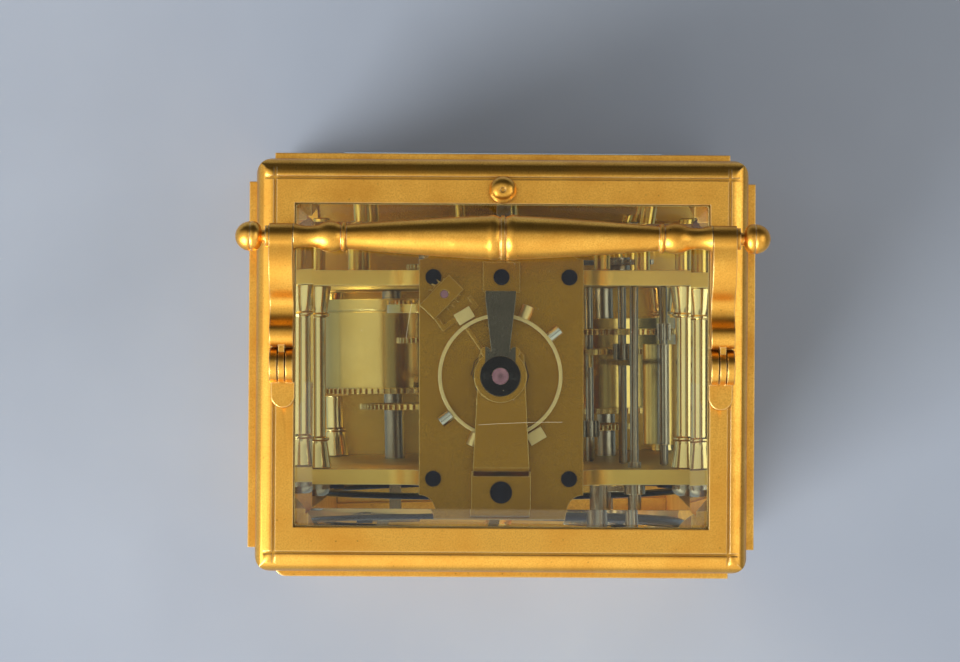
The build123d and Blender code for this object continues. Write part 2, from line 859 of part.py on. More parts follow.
# --- Movement frame -------------------------------------------------------------------------
def plate_outline(front):
    """One movement plate, flat, with shoulders and a raised seat for the platform."""
    half, seat = plate_half_width, platform_width / 2
    curve = seat_curve
    step_y = platform_seat
    return section(
        (-half, plate_bottom),
        (half, plate_bottom),
        (half, plate_shoulder),
        (seat + curve, plate_shoulder),
        ((seat + curve * 0.3, plate_shoulder + curve * 0.3), (seat, plate_shoulder + curve)),
        (seat, step_y),
        (-seat, step_y),
        (-seat, plate_shoulder + curve),
        ((-seat - curve * 0.3, plate_shoulder + curve * 0.3), (-seat - curve, plate_shoulder)),
        (-half, plate_shoulder),
        plane=Plane.XZ,
    )


def arbor_holes():
    """(place, radius at the front plate, radius at the back plate) for every arbor."""
    small = pivot_radius + pivot_clearance
    winding = winding_radius + pivot_clearance
    holes = [
        (place, small, small)
        for place in (
            second_place,
            third_place,
            contrate_place,
            strike_second_place,
            pin_wheel_place,
            gathering_place,
            fly_place,
        )
    ]
    holes += [(place, small, winding) for place in (barrel_place, strike_barrel_place)]
    centre = centre_radius + pivot_clearance
    return holes + [(centre_place, centre, centre), (hammer_place, small, centre)]


def movement_plate(front):
    y = front_plate_y if front else back_plate_y
    plate = Pos(0, y + plate_thickness, 0) * extrude_y(plate_outline(front), plate_thickness)
    for place, ahead, behind in arbor_holes():
        radius = ahead if front else behind
        plate -= rod((place[0], y - 1, place[1]), radius, plate_thickness + 2, "y")
    for x, z in pillar_spots:
        plate -= rod((x, y - 1, z), pillar_tenon + seat_gap, plate_thickness + 2, "y")
    middle = y + plate_thickness / 2
    for x in (-1, 1):
        spot = (x * platform_screw_x, middle, platform_seat - 3)
        plate -= rod(spot, screw_shank + seat_gap, 4)
    if front:
        plate -= rod((0, middle, platform_seat - 3), screw_shank + seat_gap, 4)
        for x, z in front_post_spots:
            plate -= rod((x, y - 1, z), stud_radius + seat_gap, 2.6, "y")
    else:
        plate -= rod((0, middle, platform_seat - 5), cock_shank + seat_gap, 6)
        for x in (-1, 1):
            spot = (x * plate_screw_x, y + 1, plate_screw_z)
            plate -= rod(spot, 1.0 + seat_gap, 5, "y")
        for x, z in click_spots:
            plate -= rod((x, back_plate_back - 1.2, z), 0.8 + seat_gap, 5, "y")
    return plate


def extrude_y(face, depth):
    """Extrudes an XZ face towards -Y."""
    return extrude(face, depth, dir=(0, -1, 0))


pillar_tenon = 1.2
pillar_spots = [(x * movement_pillar_x, z) for z in movement_pillar_levels for x in (-1, 1)]
platform_screw_x = 12.4
screw_shank = 0.7
cock_shank = 0.9
front_post_spots = [
    (-18.9, plate_shoulder - 5.0),
    (-movement_pillar_x, plate_screw_z),
    (27.0, plate_shoulder - 9.0),
    (movement_pillar_x, plate_shoulder - 17.0),
    (lever_reach, lever_axis[1]),
    minute_place,
    rack_place,
    (-dial_radius + 1.0, centre_place[1] - 22.0),
    (dial_radius - 1.0, centre_place[1] - 22.0),
    (-dial_radius + 1.0, centre_place[1] + 24.0),
    (dial_radius - 1.0, centre_place[1] + 24.0),
]


def movement_pillars():
    """Four turned pillars with flared ends, and tenons through both plates."""
    start, end = front_plate_back + seat_gap, back_plate_y - seat_gap
    length = end - start
    middle = length / 2
    shaft, foot = movement_pillar_radius, movement_pillar_foot_radius
    back_tenon = end + plate_thickness + seat_gap * 2 - start
    pillar = turned(
        (0, start, 0),
        "y",
        (0, -plate_thickness),
        (pillar_tenon, -plate_thickness),
        (pillar_tenon, 0),
        (foot, 0),
        (shaft + 0.25, 5.0),
        (shaft + 0.65, 5.2),
        (shaft + 0.65, 5.6),
        (shaft, 5.8),
        (shaft, length - 5.8),
        (shaft + 0.65, length - 5.6),
        (shaft + 0.65, length - 5.2),
        (shaft + 0.25, length - 5.0),
        (foot, length),
        (pillar_tenon, length),
        (pillar_tenon, back_tenon + 1.6),
        (0, back_tenon + 1.6),
    )
    low, high = movement_pillar_levels
    pillars = []
    for x, z in pillar_spots:
        piece = Pos(x, 0, z) * pillar
        if z == low:
            # The lower pillars carry a square boss that the base screws enter.
            y = start + middle
            boss = block(x - 3.4, x + 3.4, y - 4.5, y + 4.5, plate_bottom, z + 3.4)
            boss -= rod((x, foot_screw_y, plate_bottom - 1), base_screw_radius + seat_gap, 7)
            piece += boss
        pillars.append(piece)
    return pillars


def pillar_nuts():
    """Domed nuts on the pillars' rear tenons."""
    nut = turned(
        (0, back_plate_back + seat_gap, 0),
        "y",
        (pillar_tenon + seat_gap, 0),
        (nut_radius, 0),
        (nut_radius, 1.0),
        ((nut_radius * 0.8, 1.9), (pillar_tenon + 0.2, 2.3)),
        (pillar_tenon + seat_gap, 2.3),
    )
    nuts = [Pos(x, 0, z) * nut for x, z in pillar_spots]
    return nuts


def plate_screws():
    screws = []
    for x in (-1, 1):
        screw = stepped((0, back_plate_y + 1.2, 0), "y", (1.0, 1.6 + seat_gap), (plate_screw_radius, 1.1))
        screws.append(Pos(x * plate_screw_x, 0, plate_screw_z) * screw)
    return screws


# --- Wheels and pinions ---------------------------------------------------------------------
def bearing(here, there):
    """The direction from one arbor to another, as seen from the front."""
    return atan2(there[1] - here[1], there[0] - here[0])


def mesh(here, there, teeth, leaves):
    """Pitch radii of a wheel and the pinion it drives, from the distance between them."""
    distance = hypot(there[0] - here[0], there[1] - here[1])
    return distance * teeth / (teeth + leaves), distance * leaves / (teeth + leaves)


def toothed(count, pitch, share, height, depth, towards, offset=0.0):
    """A gear's outline as a face: slim pointed teeth, one centred on a bearing plus an offset."""
    module = 2 * pitch / count
    tip, root = pitch + height * module, pitch - depth * module
    step = 2 * pi / count
    half = share * step / 2
    shape = ((-half * 1.1, root), (-half, pitch), (-half * 0.45, tip), (half * 0.45, tip), (half, pitch))
    points = []
    for i in range(count):
        angle = towards + (i + offset) * step
        for turn, radius in shape + ((half * 1.1, root),):
            points.append((radius * cos(angle + turn), radius * sin(angle + turn)))
    return make_face(Polyline(*points, close=True))


def wheel_disc(count, pitch, towards, bore=arbor_radius, arms=4):
    """A crossed-out wheel, flat, with a tooth centred on the bearing."""
    disc = extrude(
        toothed(count, pitch, tooth_share, tooth_height, tooth_depth, towards), wheel_thickness
    )
    module = 2 * pitch / count
    rim, hub = pitch - tooth_depth * module - 1.2, bore + 1.6
    if rim > hub + 2:
        window = Circle(rim) - Circle(hub)
        for i in range(arms // 2):
            window -= Rot(Z=45 + 180 * i / (arms / 2)) * Rectangle(2.2 * rim, 1.3)
        disc -= extrude(window, wheel_thickness)
    return disc


def pinion(count, pitch, towards, length=pinion_length):
    """A pinion with a gap centred on the bearing."""
    return extrude(toothed(count, pitch, leaf_share, leaf_height, leaf_depth, towards, 0.5), length)


def arbor(place, start=0.0, end=0.0):
    """A steel arbor between the plates with a pivot in each."""
    x, z = place
    inner_start, inner_end = front_plate_back + end_shake, back_plate_y - end_shake
    pivot = plate_thickness + end_shake
    return stepped(
        (x, inner_start - pivot - start, z),
        "y",
        (pivot_radius, pivot + start),
        (arbor_radius, inner_end - inner_start),
        (pivot_radius, pivot + end),
    )


def train_piece(place, wheel, wheel_at, leaves, leaves_at):
    """A wheel and a pinion on one arbor; each is given with the y of its front face."""
    piece = arbor(place)
    x, z = place
    if wheel is not None:
        piece += front_view(wheel, x, z, wheel_at + wheel_thickness)
    if leaves is not None:
        piece += front_view(leaves, x, z, leaves_at + pinion_length)
    return piece


def pinion_front(wheel_at):
    """Front face of a pinion that straddles the wheel that drives it."""
    return wheel_at - (pinion_length - wheel_thickness) / 2


def second_wheel():
    ahead, back = bearing(second_place, centre_place), bearing(second_place, barrel_place)
    pitch = mesh(second_place, centre_place, second_teeth, centre_leaves)[0]
    wheel = wheel_disc(second_teeth, pitch, ahead)
    driven = mesh(barrel_place, second_place, barrel_teeth, second_leaves)[1]
    return train_piece(
        second_place, wheel, second_y, pinion(second_leaves, driven, back), pinion_front(barrel_teeth_y)
    )


def centre_wheel():
    """The centre arbor carries the hands at the front and the hand-setting square at the back."""
    x, z = centre_place
    ahead, back = bearing(centre_place, third_place), bearing(centre_place, second_place)
    wheel = wheel_disc(
        centre_teeth, mesh(centre_place, third_place, centre_teeth, third_leaves)[0], ahead, centre_radius
    )
    driven = mesh(second_place, centre_place, second_teeth, centre_leaves)[1]
    end = back_plate_back + 0.4
    shaft = rod((x, front_plate_y, z), centre_radius, back_plate_back - front_plate_y, "y")
    shaft += rod((x, mask_y - 3.0, z), centre_nose, -mask_y + 3.0 + front_plate_y, "y")
    collar = rod((x, front_plate_back + end_shake, z), centre_radius + 0.7, 1.5, "y")
    square = block(x - 1.0, x + 1.0, end, end + 4.5, z - 1.0, z + 1.0)
    shaft += rod((x, back_plate_back, z), centre_radius, 0.5, "y") + collar + square
    shaft += front_view(wheel, x, z, centre_y + wheel_thickness)
    leaves = pinion(centre_leaves, driven, back)
    return shaft + front_view(leaves, x, z, pinion_front(second_y) + pinion_length)


centre_nose = 0.75  # the thin front end of the centre arbor
hand_front = mask_y - 3.0


def third_wheel():
    ahead, back = bearing(third_place, contrate_place), bearing(third_place, centre_place)
    pitch = mesh(third_place, contrate_place, third_teeth, contrate_leaves)[0]
    wheel = wheel_disc(third_teeth, pitch, ahead)
    driven = mesh(centre_place, third_place, centre_teeth, third_leaves)[1]
    return train_piece(
        third_place, wheel, third_y, pinion(third_leaves, driven, back), pinion_front(centre_y)
    )


contrate_pitch = 10.6
crown_thickness = 0.7
escape_pinion_pitch = contrate_pitch * escape_leaves / contrate_teeth


def contrate_wheel():
    """A crown wheel: its teeth point forward, to the upright escape pinion."""
    x, z = contrate_place
    outer = contrate_pitch + crown_thickness / 2
    web = Circle(outer) - (Circle(outer - 1.3) - Circle(arbor_radius + 1.6) - Rectangle(2 * outer, 1.4)
                           - Rectangle(1.4, 2 * outer))
    crown = extrude(web, 0.9)
    band = extrude(Circle(outer) - Circle(outer - crown_thickness), crown_base)
    step = 2 * pi / contrate_teeth
    width = tooth_share * step * contrate_pitch
    point = width * 0.2
    tooth = section((-width / 2, -0.1), (width / 2, -0.1), (point, crown_tooth), (-point, crown_tooth))
    tooth = extrude(tooth, crown_thickness * 0.98, dir=(0, 1, 0))
    teeth = [
        Rot(Z=degrees(i * step))
        * Pos(0, outer - crown_thickness * 0.99, crown_base)
        * tooth
        for i in range(contrate_teeth)
    ]
    crown = crown + band + teeth
    driven = mesh(third_place, contrate_place, third_teeth, contrate_leaves)[1]
    leaves = pinion(contrate_leaves, driven, bearing(contrate_place, third_place))
    piece = train_piece(contrate_place, None, 0, leaves, pinion_front(third_y))
    return piece + front_view(crown, x, z, contrate_web_y)


crown_module = 2 * escape_pinion_pitch / escape_leaves
crown_tooth = (tooth_height + tooth_depth) * crown_module
tooth_tip_y = escape_y + escape_pinion_pitch - tooth_height * crown_module
crown_base = contrate_web_y - tooth_tip_y - crown_tooth


def winding_arbor(place, drum_y):
    """A barrel arbor: hook boss inside the barrel, ratchet and winding square behind the plate."""
    x, z = place
    start = front_plate_back + end_shake
    pivot = plate_thickness + end_shake
    bar = rod((x, start - pivot, z), pivot_radius, pivot + 0.5, "y")
    end = back_plate_back + ratchet_gap + ratchet_thickness
    bar += rod((x, start, z), winding_radius, end - start, "y")
    bar += rod((x, drum_y + 1.6, z), 4.2, 8.0, "y")
    ratchet_y = back_plate_back + ratchet_gap
    ratchet = extrude(ratchet_face(), ratchet_thickness)
    bar += front_view(ratchet, x, z, ratchet_y + ratchet_thickness)
    half = square_size / 2
    end = ratchet_y + ratchet_thickness
    return bar + block(x - half, x + half, end - 0.1, end + square_length, z - half, z + half)


ratchet_gap = 0.3
ratchet_thickness = 1.3
ratchet_radius = 7.2
ratchet_teeth = 24
square_length = 6.5


def ratchet_face():
    """Saw teeth, one tip straight up."""
    points = []
    step = 2 * pi / ratchet_teeth
    for i in range(ratchet_teeth):
        angle = pi / 2 + i * step
        points.append((ratchet_radius * cos(angle), ratchet_radius * sin(angle)))
        deep = ratchet_radius - 1.0
        points.append((deep * cos(angle + 0.12 * step), deep * sin(angle + 0.12 * step)))
    return make_face(Polyline(*points, close=True))


def barrel(place, partner, leaves, teeth_y, drum_y):
    """A hollow drum with a toothed flange, turning on the winding arbor."""
    x, z = place
    pitch = mesh(place, partner, barrel_teeth, leaves)[0]
    bore = winding_radius + running_clearance
    face = toothed(barrel_teeth, pitch, tooth_share, tooth_height, tooth_depth, bearing(place, partner))
    flange = front_view(extrude(face, wheel_thickness), x, z, teeth_y + wheel_thickness)
    drum = rod((x, drum_y, z), drum_radius, teeth_y - drum_y + 0.1, "y")
    drum -= rod((x, drum_y + 1.0, z), drum_radius - 1.2, teeth_y - drum_y - 1.0, "y")
    groove = rod((x, drum_y + 2.2, z), drum_radius + 1, 0.4, "y") - rod(
        (x, drum_y + 2.0, z), drum_radius - 0.3, 1.0, "y"
    )
    drum = drum - groove + flange
    return drum - rod((x, drum_y - 1, z), bore, teeth_y - drum_y + 5, "y")


def going_barrel():
    return barrel(barrel_place, second_place, second_leaves, barrel_teeth_y, barrel_front_y)


def strike_barrel():
    partner = strike_second_place
    return barrel(strike_barrel_place, partner, second_leaves, strike_teeth_y, strike_drum_y)


def click(place, lean):
    """A click that rides just clear of the ratchet's tips, on a screw in the back plate."""
    x, z = place
    y = back_plate_back + ratchet_gap
    px, pz = x + click_away * sin(lean), z + click_away * cos(lean)
    tip = ratchet_radius + side_gap
    toe_x, toe_z = x + tip * sin(lean + click_span), z + tip * cos(lean + click_span)
    angle = atan2(toe_z - pz, toe_x - px)
    length = hypot(toe_x - px, toe_z - pz)
    body = rod((0, 0, 0), 1.7, ratchet_thickness, "y")
    body += extrude_y(
        section((0, -1.2), (length, -0.25), (length, 0.25), (0, 1.2)), -ratchet_thickness
    )
    body = Rot(Y=-degrees(angle)) * body
    return Pos(px, y, pz) * body - rod((px, y - 1, pz), 0.8 + pivot_clearance, 5, "y")


click_away = 10.6
click_span = 0.62


def click_screws():
    """The clicks' screws."""
    screws = []
    for place, lean in ((barrel_place, 0.35), (strike_barrel_place, -0.35)):
        px = place[0] + click_away * sin(lean)
        pz = place[1] + click_away * cos(lean)
        y = back_plate_back
        screws.append(
            stepped(
                (px, y - 1.0, pz),
                "y",
                (0.8, 1.0 + ratchet_gap + ratchet_thickness + side_gap),
                (1.6, 0.8),
            )
        )
    return screws


# --- Strike train ---------------------------------------------------------------------------
def strike_second_wheel():
    here = strike_second_place
    ahead, back = bearing(here, pin_wheel_place), bearing(here, strike_barrel_place)
    wheel = wheel_disc(second_teeth, mesh(here, pin_wheel_place, second_teeth, pin_wheel_leaves)[0], ahead)
    driven = mesh(strike_barrel_place, here, barrel_teeth, second_leaves)[1]
    leaves = pinion(second_leaves, driven, back)
    return train_piece(here, wheel, strike_second_y, leaves, pinion_front(strike_teeth_y))


lifting_pins = 8
lifting_pin_radius = 0.4
lifting_circle = 0.72  # of the pin wheel's pitch radius


def pin_wheel():
    here = pin_wheel_place
    ahead, back = bearing(here, gathering_place), bearing(here, strike_second_place)
    pitch = mesh(here, gathering_place, pin_wheel_teeth, gathering_leaves)[0]
    wheel = wheel_disc(pin_wheel_teeth, pitch, ahead)
    pin_ring = Circle(pitch * lifting_circle + 1.0) - Circle(pitch * lifting_circle - 1.0)
    wheel += extrude(pin_ring, wheel_thickness)
    driven = mesh(strike_second_place, here, second_teeth, pin_wheel_leaves)[1]
    leaves = pinion(pin_wheel_leaves, driven, back)
    piece = train_piece(here, wheel, pin_wheel_y, leaves, pinion_front(strike_second_y))
    for i in range(lifting_pins):
        angle = 2 * pi * i / lifting_pins
        reach = pitch * lifting_circle
        spot = (here[0] + reach * cos(angle), pin_wheel_y + 0.2, here[1] + reach * sin(angle))
        piece += rod(spot, lifting_pin_radius, wheel_thickness + 2.2, "y")
    return piece


def gathering_wheel():
    here = gathering_place
    ahead, back = bearing(here, fly_place), bearing(here, pin_wheel_place)
    wheel = wheel_disc(gathering_teeth, mesh(here, fly_place, gathering_teeth, fly_leaves)[0], ahead)
    driven = mesh(pin_wheel_place, here, pin_wheel_teeth, gathering_leaves)[1]
    leaves = pinion(gathering_leaves, driven, back)
    return train_piece(here, wheel, gathering_y, leaves, pinion_front(pin_wheel_y))


fly_half_width = 4.2
fly_length = 19.0
fly_start = -3.6


def fly():
    """The air brake: a thin blade on the last arbor of the strike train."""
    x, z = fly_place
    driven = mesh(gathering_place, fly_place, gathering_teeth, fly_leaves)[1]
    leaves = pinion(fly_leaves, driven, bearing(fly_place, gathering_place))
    piece = train_piece(fly_place, None, 0, leaves, pinion_front(gathering_y))
    blade = block(-fly_half_width, fly_half_width, fly_start, fly_start + fly_length, -0.25, 0.25)
    blade += rod((0, fly_start, 0), arbor_radius + 0.5, fly_length, "y")
    return piece + Pos(x, 0, z) * Rot(Y=25) * blade


hammer_lean = radians(116)  # direction of the head from the middle of the gong
hammer_gap = 1.6
hammer_tail_half = 0.8


def hammer():
    """Arbor with a tail by the pin wheel inside and, behind the back plate, an arm and head."""
    x, z = hammer_place
    piece = arbor(hammer_place)
    behind = back_plate_back
    piece += rod((x, back_plate_y - 1, z), centre_radius, plate_thickness + 1 + 5.2, "y")
    outer = gong_inner + gong_turns * gong_pitch + gong_wire + hammer_gap + hammer_head_radius
    head_x = gong_place[0] + outer * cos(hammer_lean)
    head_z = gong_place[1] + outer * sin(hammer_lean)
    head = rod((head_x, behind + 0.6, head_z), hammer_head_radius, 5.2, "y")
    piece += head + strut(hammer_place, (head_x, head_z), behind + 0.6, 1.2, 0.9)
    piece += rod((x, behind + 0.3, z), 2.0, 1.9, "y")
    reach = hypot(pin_wheel_place[0] - x, pin_wheel_place[1] - z)
    pitch = mesh(pin_wheel_place, gathering_place, pin_wheel_teeth, gathering_leaves)[0]
    length = reach - pitch * lifting_circle - lifting_pin_radius - hammer_tail_half - side_gap
    share = length / reach
    toe = (x + (pin_wheel_place[0] - x) * share, z + (pin_wheel_place[1] - z) * share)
    piece += strut(hammer_place, toe, hammer_tail_y, 1.0, hammer_tail_half)
    return piece


def strut(here, there, y, thickness, half_width):
    """A flat bar with round ends between two (x, z) places."""
    length = hypot(there[0] - here[0], there[1] - here[1])
    bar = block(0, length, 0, thickness, -half_width, half_width)
    bar += rod((0, 0, 0), half_width, thickness, "y") + rod((length, 0, 0), half_width, thickness, "y")
    return Pos(here[0], y, here[1]) * Rot(Y=-degrees(bearing(here, there))) * bar


gong_turns = 2


def gong():
    """A flat coil of blued steel rod, its inner end turned into the gong block."""
    x, z = gong_place
    reach = gong_inner
    edges = []
    here = Vector(x, gong_y, z - reach)
    for i in range(2 * gong_turns):
        # Each half turn is a semicircle; the radius grows by a quarter pitch at a time.
        grow = gong_pitch / 2
        sign = 1 if i % 2 == 0 else -1
        span = 2 * reach + grow
        end = here + Vector(0, 0, sign * span)
        middle = here + Vector(sign * span / 2, 0, sign * span / 2)
        edges.append(ThreePointArc(here, middle, end))
        here = end
        reach += grow
    path = Wire(edges)
    start = path @ 0
    profile = Plane(origin=start, z_dir=path % 0) * Circle(gong_wire)
    coil = sweep(profile, path=path, transition=Transition.ROUND)
    return coil


def gong_block():
    x, z = gong_place
    z -= gong_inner
    y = back_plate_back + seat_gap
    body = block(x - 3.2, x, y, gong_y + 2.2, z - 1.2, z + 2.8)
    body += rod((x - 1.6, y, z + 1.0), 2.6, 1.4, "y")
    return body


# --- Dial side ------------------------------------------------------------------------------
def dial_mask():
    mask = block(
        -mask_half_width, mask_half_width, mask_y, mask_y + mask_thickness, mask_bottom, mask_top
    )
    x, z = centre_place
    slot_low = lever_top - lever_thickness - button_travel - 2 * side_gap
    half = mask_slot / 2
    mask -= block(-half, half, mask_y - 1, mask_y + 2, slot_low, mask_top + 1)
    return mask - rod((x, mask_y - 1, z), dial_radius - 1.5, 4, "y")


def dial():
    """An enamel dial behind the mask's opening."""
    x, z = centre_place
    y = mask_y + mask_thickness + seat_gap
    plate = rod((x, y, z), dial_radius, dial_thickness, "y")
    return plate - rod((x, y - 1, z), hour_pipe_radius + 0.5, 4, "y")


hour_pipe_radius = 2.1
cannon_radius = 1.45


def front_posts():
    """Studs and posts on the front plate: dial feet, motion-work and rack studs, steady posts."""
    posts = []
    for i, (x, z) in enumerate(front_post_spots):
        tenon = stud_radius
        start = front_plate_y + 1.4
        if i < 4:
            posts.append(Pos(x, 0, z) * front_post(6.5, post_radius))
        elif i < 7:
            reach = {4: 3.6, 5: 7.0, 6: 5.0}[i]
            posts.append(rod((x, front_plate_y - reach, z), tenon, reach + 1.4, "y"))
        else:
            reach = front_plate_y - (mask_y + mask_thickness + dial_thickness + 3 * seat_gap)
            posts.append(Pos(x, 0, z) * front_post(reach, post_radius))
    return posts


def front_post(reach, radius):
    return stepped(
        (0, front_plate_y - reach - seat_gap, 0), "y", (radius, reach), (stud_radius, 1.4)
    )


minute_pitch = hypot(minute_place[0], minute_place[1] - centre_place[1])
cannon_pitch = minute_pitch * cannon_teeth / (cannon_teeth + minute_teeth)
hour_pitch = minute_pitch * hour_teeth / (hour_teeth + minute_leaves)


def cannon_pinion():
    """A pipe on the centre arbor that carries the minute hand, with a pinion at its back."""
    x, z = centre_place
    start, end = hand_front + 0.5, front_plate_y - side_gap
    pipe = rod((x, start, z), cannon_radius, end - start, "y")
    face = toothed(cannon_teeth, cannon_pitch, leaf_share, leaf_height, leaf_depth,
                   bearing(centre_place, minute_place), 0.5)
    pipe += front_view(extrude(face, 2.0), x, z, motion_y + 3.6)
    return pipe - rod((x, start - 1, z), centre_nose + running_clearance, end - start + 2, "y")


def minute_wheel():
    x, z = minute_place
    face = toothed(minute_teeth, minute_pitch - cannon_pitch, tooth_share, tooth_height, tooth_depth,
                   bearing(minute_place, centre_place))
    wheel = front_view(extrude(face, wheel_thickness), x, z, motion_y + 3.2)
    leaves = toothed(minute_leaves, minute_pitch - hour_pitch, leaf_share, leaf_height, leaf_depth,
                     bearing(minute_place, centre_place), 0.5)
    wheel += front_view(extrude(leaves, 2.2), x, z, motion_y + 2.2)
    return wheel - rod((x, motion_y - 4, z), stud_radius + running_clearance, 12, "y")


def hour_wheel():
    """Wheel, snail and the pipe that carries the hour hand."""
    x, z = centre_place
    face = toothed(hour_teeth, hour_pitch, tooth_share, tooth_height, tooth_depth,
                   bearing(centre_place, minute_place))
    wheel = front_view(extrude(face, wheel_thickness), x, z, motion_y + wheel_thickness)
    wheel += front_view(extrude(snail_face(), 1.2), x, z, motion_y - 0.4)
    pipe = hand_front + 1.6
    wheel += rod((x, pipe, z), hour_pipe_radius, motion_y + 1.0 - pipe, "y")
    return wheel - rod((x, pipe - 1, z), cannon_radius + running_clearance, 20, "y")


snail_radius = 9.0
snail_step = 0.42


def snail_face():
    """Twelve steps; the deepest is for twelve o'clock."""
    points = []
    for i in range(12):
        radius = snail_radius - i * snail_step
        for share in (0, 0.5, 1):
            angle = 2 * pi * (i + share) / 12
            points.append((radius * cos(angle), radius * sin(angle)))
    return make_face(Polyline(*points, close=True))


def hand(length, boss, width, y, bore, turn):
    """A blued hand with a round boss and a swelling near its point."""
    x, z = centre_place
    body = section(
        (-width * 0.4, 0),
        (-width * 0.3, length * 0.55),
        (-width * 1.1, length * 0.68),
        (-width * 0.25, length * 0.82),
        (0, length),
        (width * 0.25, length * 0.82),
        (width * 1.1, length * 0.68),
        (width * 0.3, length * 0.55),
        (width * 0.4, 0),
    )
    piece = extrude_y(body, -hand_thickness) + rod((0, 0, 0), boss, hand_thickness, "y")
    piece = Pos(x, y, z) * Rot(Y=turn) * piece
    return piece - rod((x, y - 1, z), bore + seat_gap / 2, 3, "y")


def minute_hand():
    y = hand_front + 0.5 - hand_thickness - seat_gap
    return hand(minute_hand_length, 2.1, 1.6, y, centre_nose, minute_hand_turn)


def hour_hand():
    y = hand_front + 1.6 - hand_thickness - seat_gap
    return hand(hour_hand_length, 3.0, 2.0, y, cannon_radius + 0.1, hour_hand_turn)


def rack():
    """The strike rack: a toothed sector, a hub on its stud and a tail towards the snail."""
    x, z = rack_place
    y = motion_y + 1.6
    sector = extrude(toothed(72, 17.0, 0.45, 0.7, 0.7, radians(95)), 1.0)
    wedge = extrude(section((0, 0), (-9.0, 22.0), (3.5, 22.0), plane=Plane.XY), 1.0)
    keep = (sector & wedge) - Cylinder(14.2, 4)
    piece = front_view(keep, x, z, y + 1.0)
    arm_top = (x + 14.6 * cos(radians(100)), z + 14.6 * sin(radians(100)))
    piece += strut(rack_place, arm_top, y, 1.0, 1.1)
    toe = (centre_place[0] - snail_radius - 3.5, centre_place[1] + 3.0)
    piece += strut(rack_place, toe, y, 1.0, 0.8)
    piece += rod((x, y - 0.6, z), 2.4, 2.6, "y")
    return piece - rod((x, y - 4, z), stud_radius + running_clearance, 12, "y")


# --- Platform escapement --------------------------------------------------------------------
lever_place = (7.6, escape_y + 4.2)
lever_z = platform_top + 0.9
lever_height = 0.6
escape_wheel_z = platform_top + 0.95
roller_radius = 1.7
cock_foot_y = platform_y + platform_depth / 2 - cock_foot_depth
cock_inner_y = balance_y - 5.0
cock_screw_y = cock_foot_y + cock_foot_depth / 2
escape_cock_turn = 46.0
escape_cock_half = 1.9
escape_cock_lever_half = 1.2  # its foot, on the lever's side
escape_cock_foot = 1.3
escape_cock_reach = 3.1  # past the jewel
escape_cock_top = platform_top + 3.2
click_spots = [
    (place[0] + click_away * sin(lean), place[1] + click_away * cos(lean))
    for place, lean in ((barrel_place, 0.35), (strike_barrel_place, -0.35))
]


def platform_screw_spots():
    front = (front_plate_y + front_plate_back) / 2
    back = (back_plate_y + back_plate_back) / 2
    spots = [(x * platform_screw_x, y) for y in (front, back) for x in (-1, 1)]
    return spots + [(0.0, front)]


def platform_plate():
    """The platform, its corners cut in quarter rounds, drilled for screws and pivots."""
    half_x, half_y = platform_width / 2, platform_depth / 2
    plate = block(
        -half_x, half_x, platform_y - half_y, platform_y + half_y, platform_seat + seat_gap, platform_top
    )
    for x in (-1, 1):
        for y in (-1, 1):
            corner = (x * half_x, platform_y + y * half_y, platform_seat - 1)
            plate -= rod(corner, platform_corner_cut, 5)
    for x, y in platform_screw_spots():
        plate -= rod((x, y, platform_seat - 1), screw_shank + seat_gap, 5)
    plate -= rod((0, cock_screw_y, platform_seat - 1), cock_shank + seat_gap, 5)
    plate -= rod((escape_x, escape_y, platform_seat - 1), 2.0, 5)
    plate -= rod((balance_x, balance_y, platform_top - 1.0), jewel_radius + seat_gap, 2)
    plate -= rod((*lever_place, platform_top - 0.8), pivot_hole, 2)
    return plate


jewel_radius = 1.5
pivot_hole = 0.3


def platform_screws():
    """Five small blued screws and the larger screw of the balance cock."""
    screws = []
    for x, y in platform_screw_spots():
        head = platform_top + (front_foot_height if x == 0 else 0) + seat_gap
        screws.append(top_screw(x, y, head, screw_radius, screw_shank, 3.0 + head - platform_top + 1.5))
    head = cock_top - cock_step + seat_gap
    shank = head - platform_top + 3.5
    screws.append(top_screw(0, cock_screw_y, head, cock_screw_radius, cock_shank, shank))
    return screws


front_foot_height = 1.0
cock_step = 2.0
cock_chamfer = 0.65


def top_screw(x, y, z, head_radius, shank_radius, shank):
    """A screw standing up, its slotted head resting at a height."""
    screw = stepped((x, y, z - shank), "z", (shank_radius, shank), (head_radius, screw_head))
    slot_z = z + screw_head
    return screw - block(x - 0.2, x + 0.2, y - head_radius, y + head_radius, slot_z - 0.35, slot_z + 1)


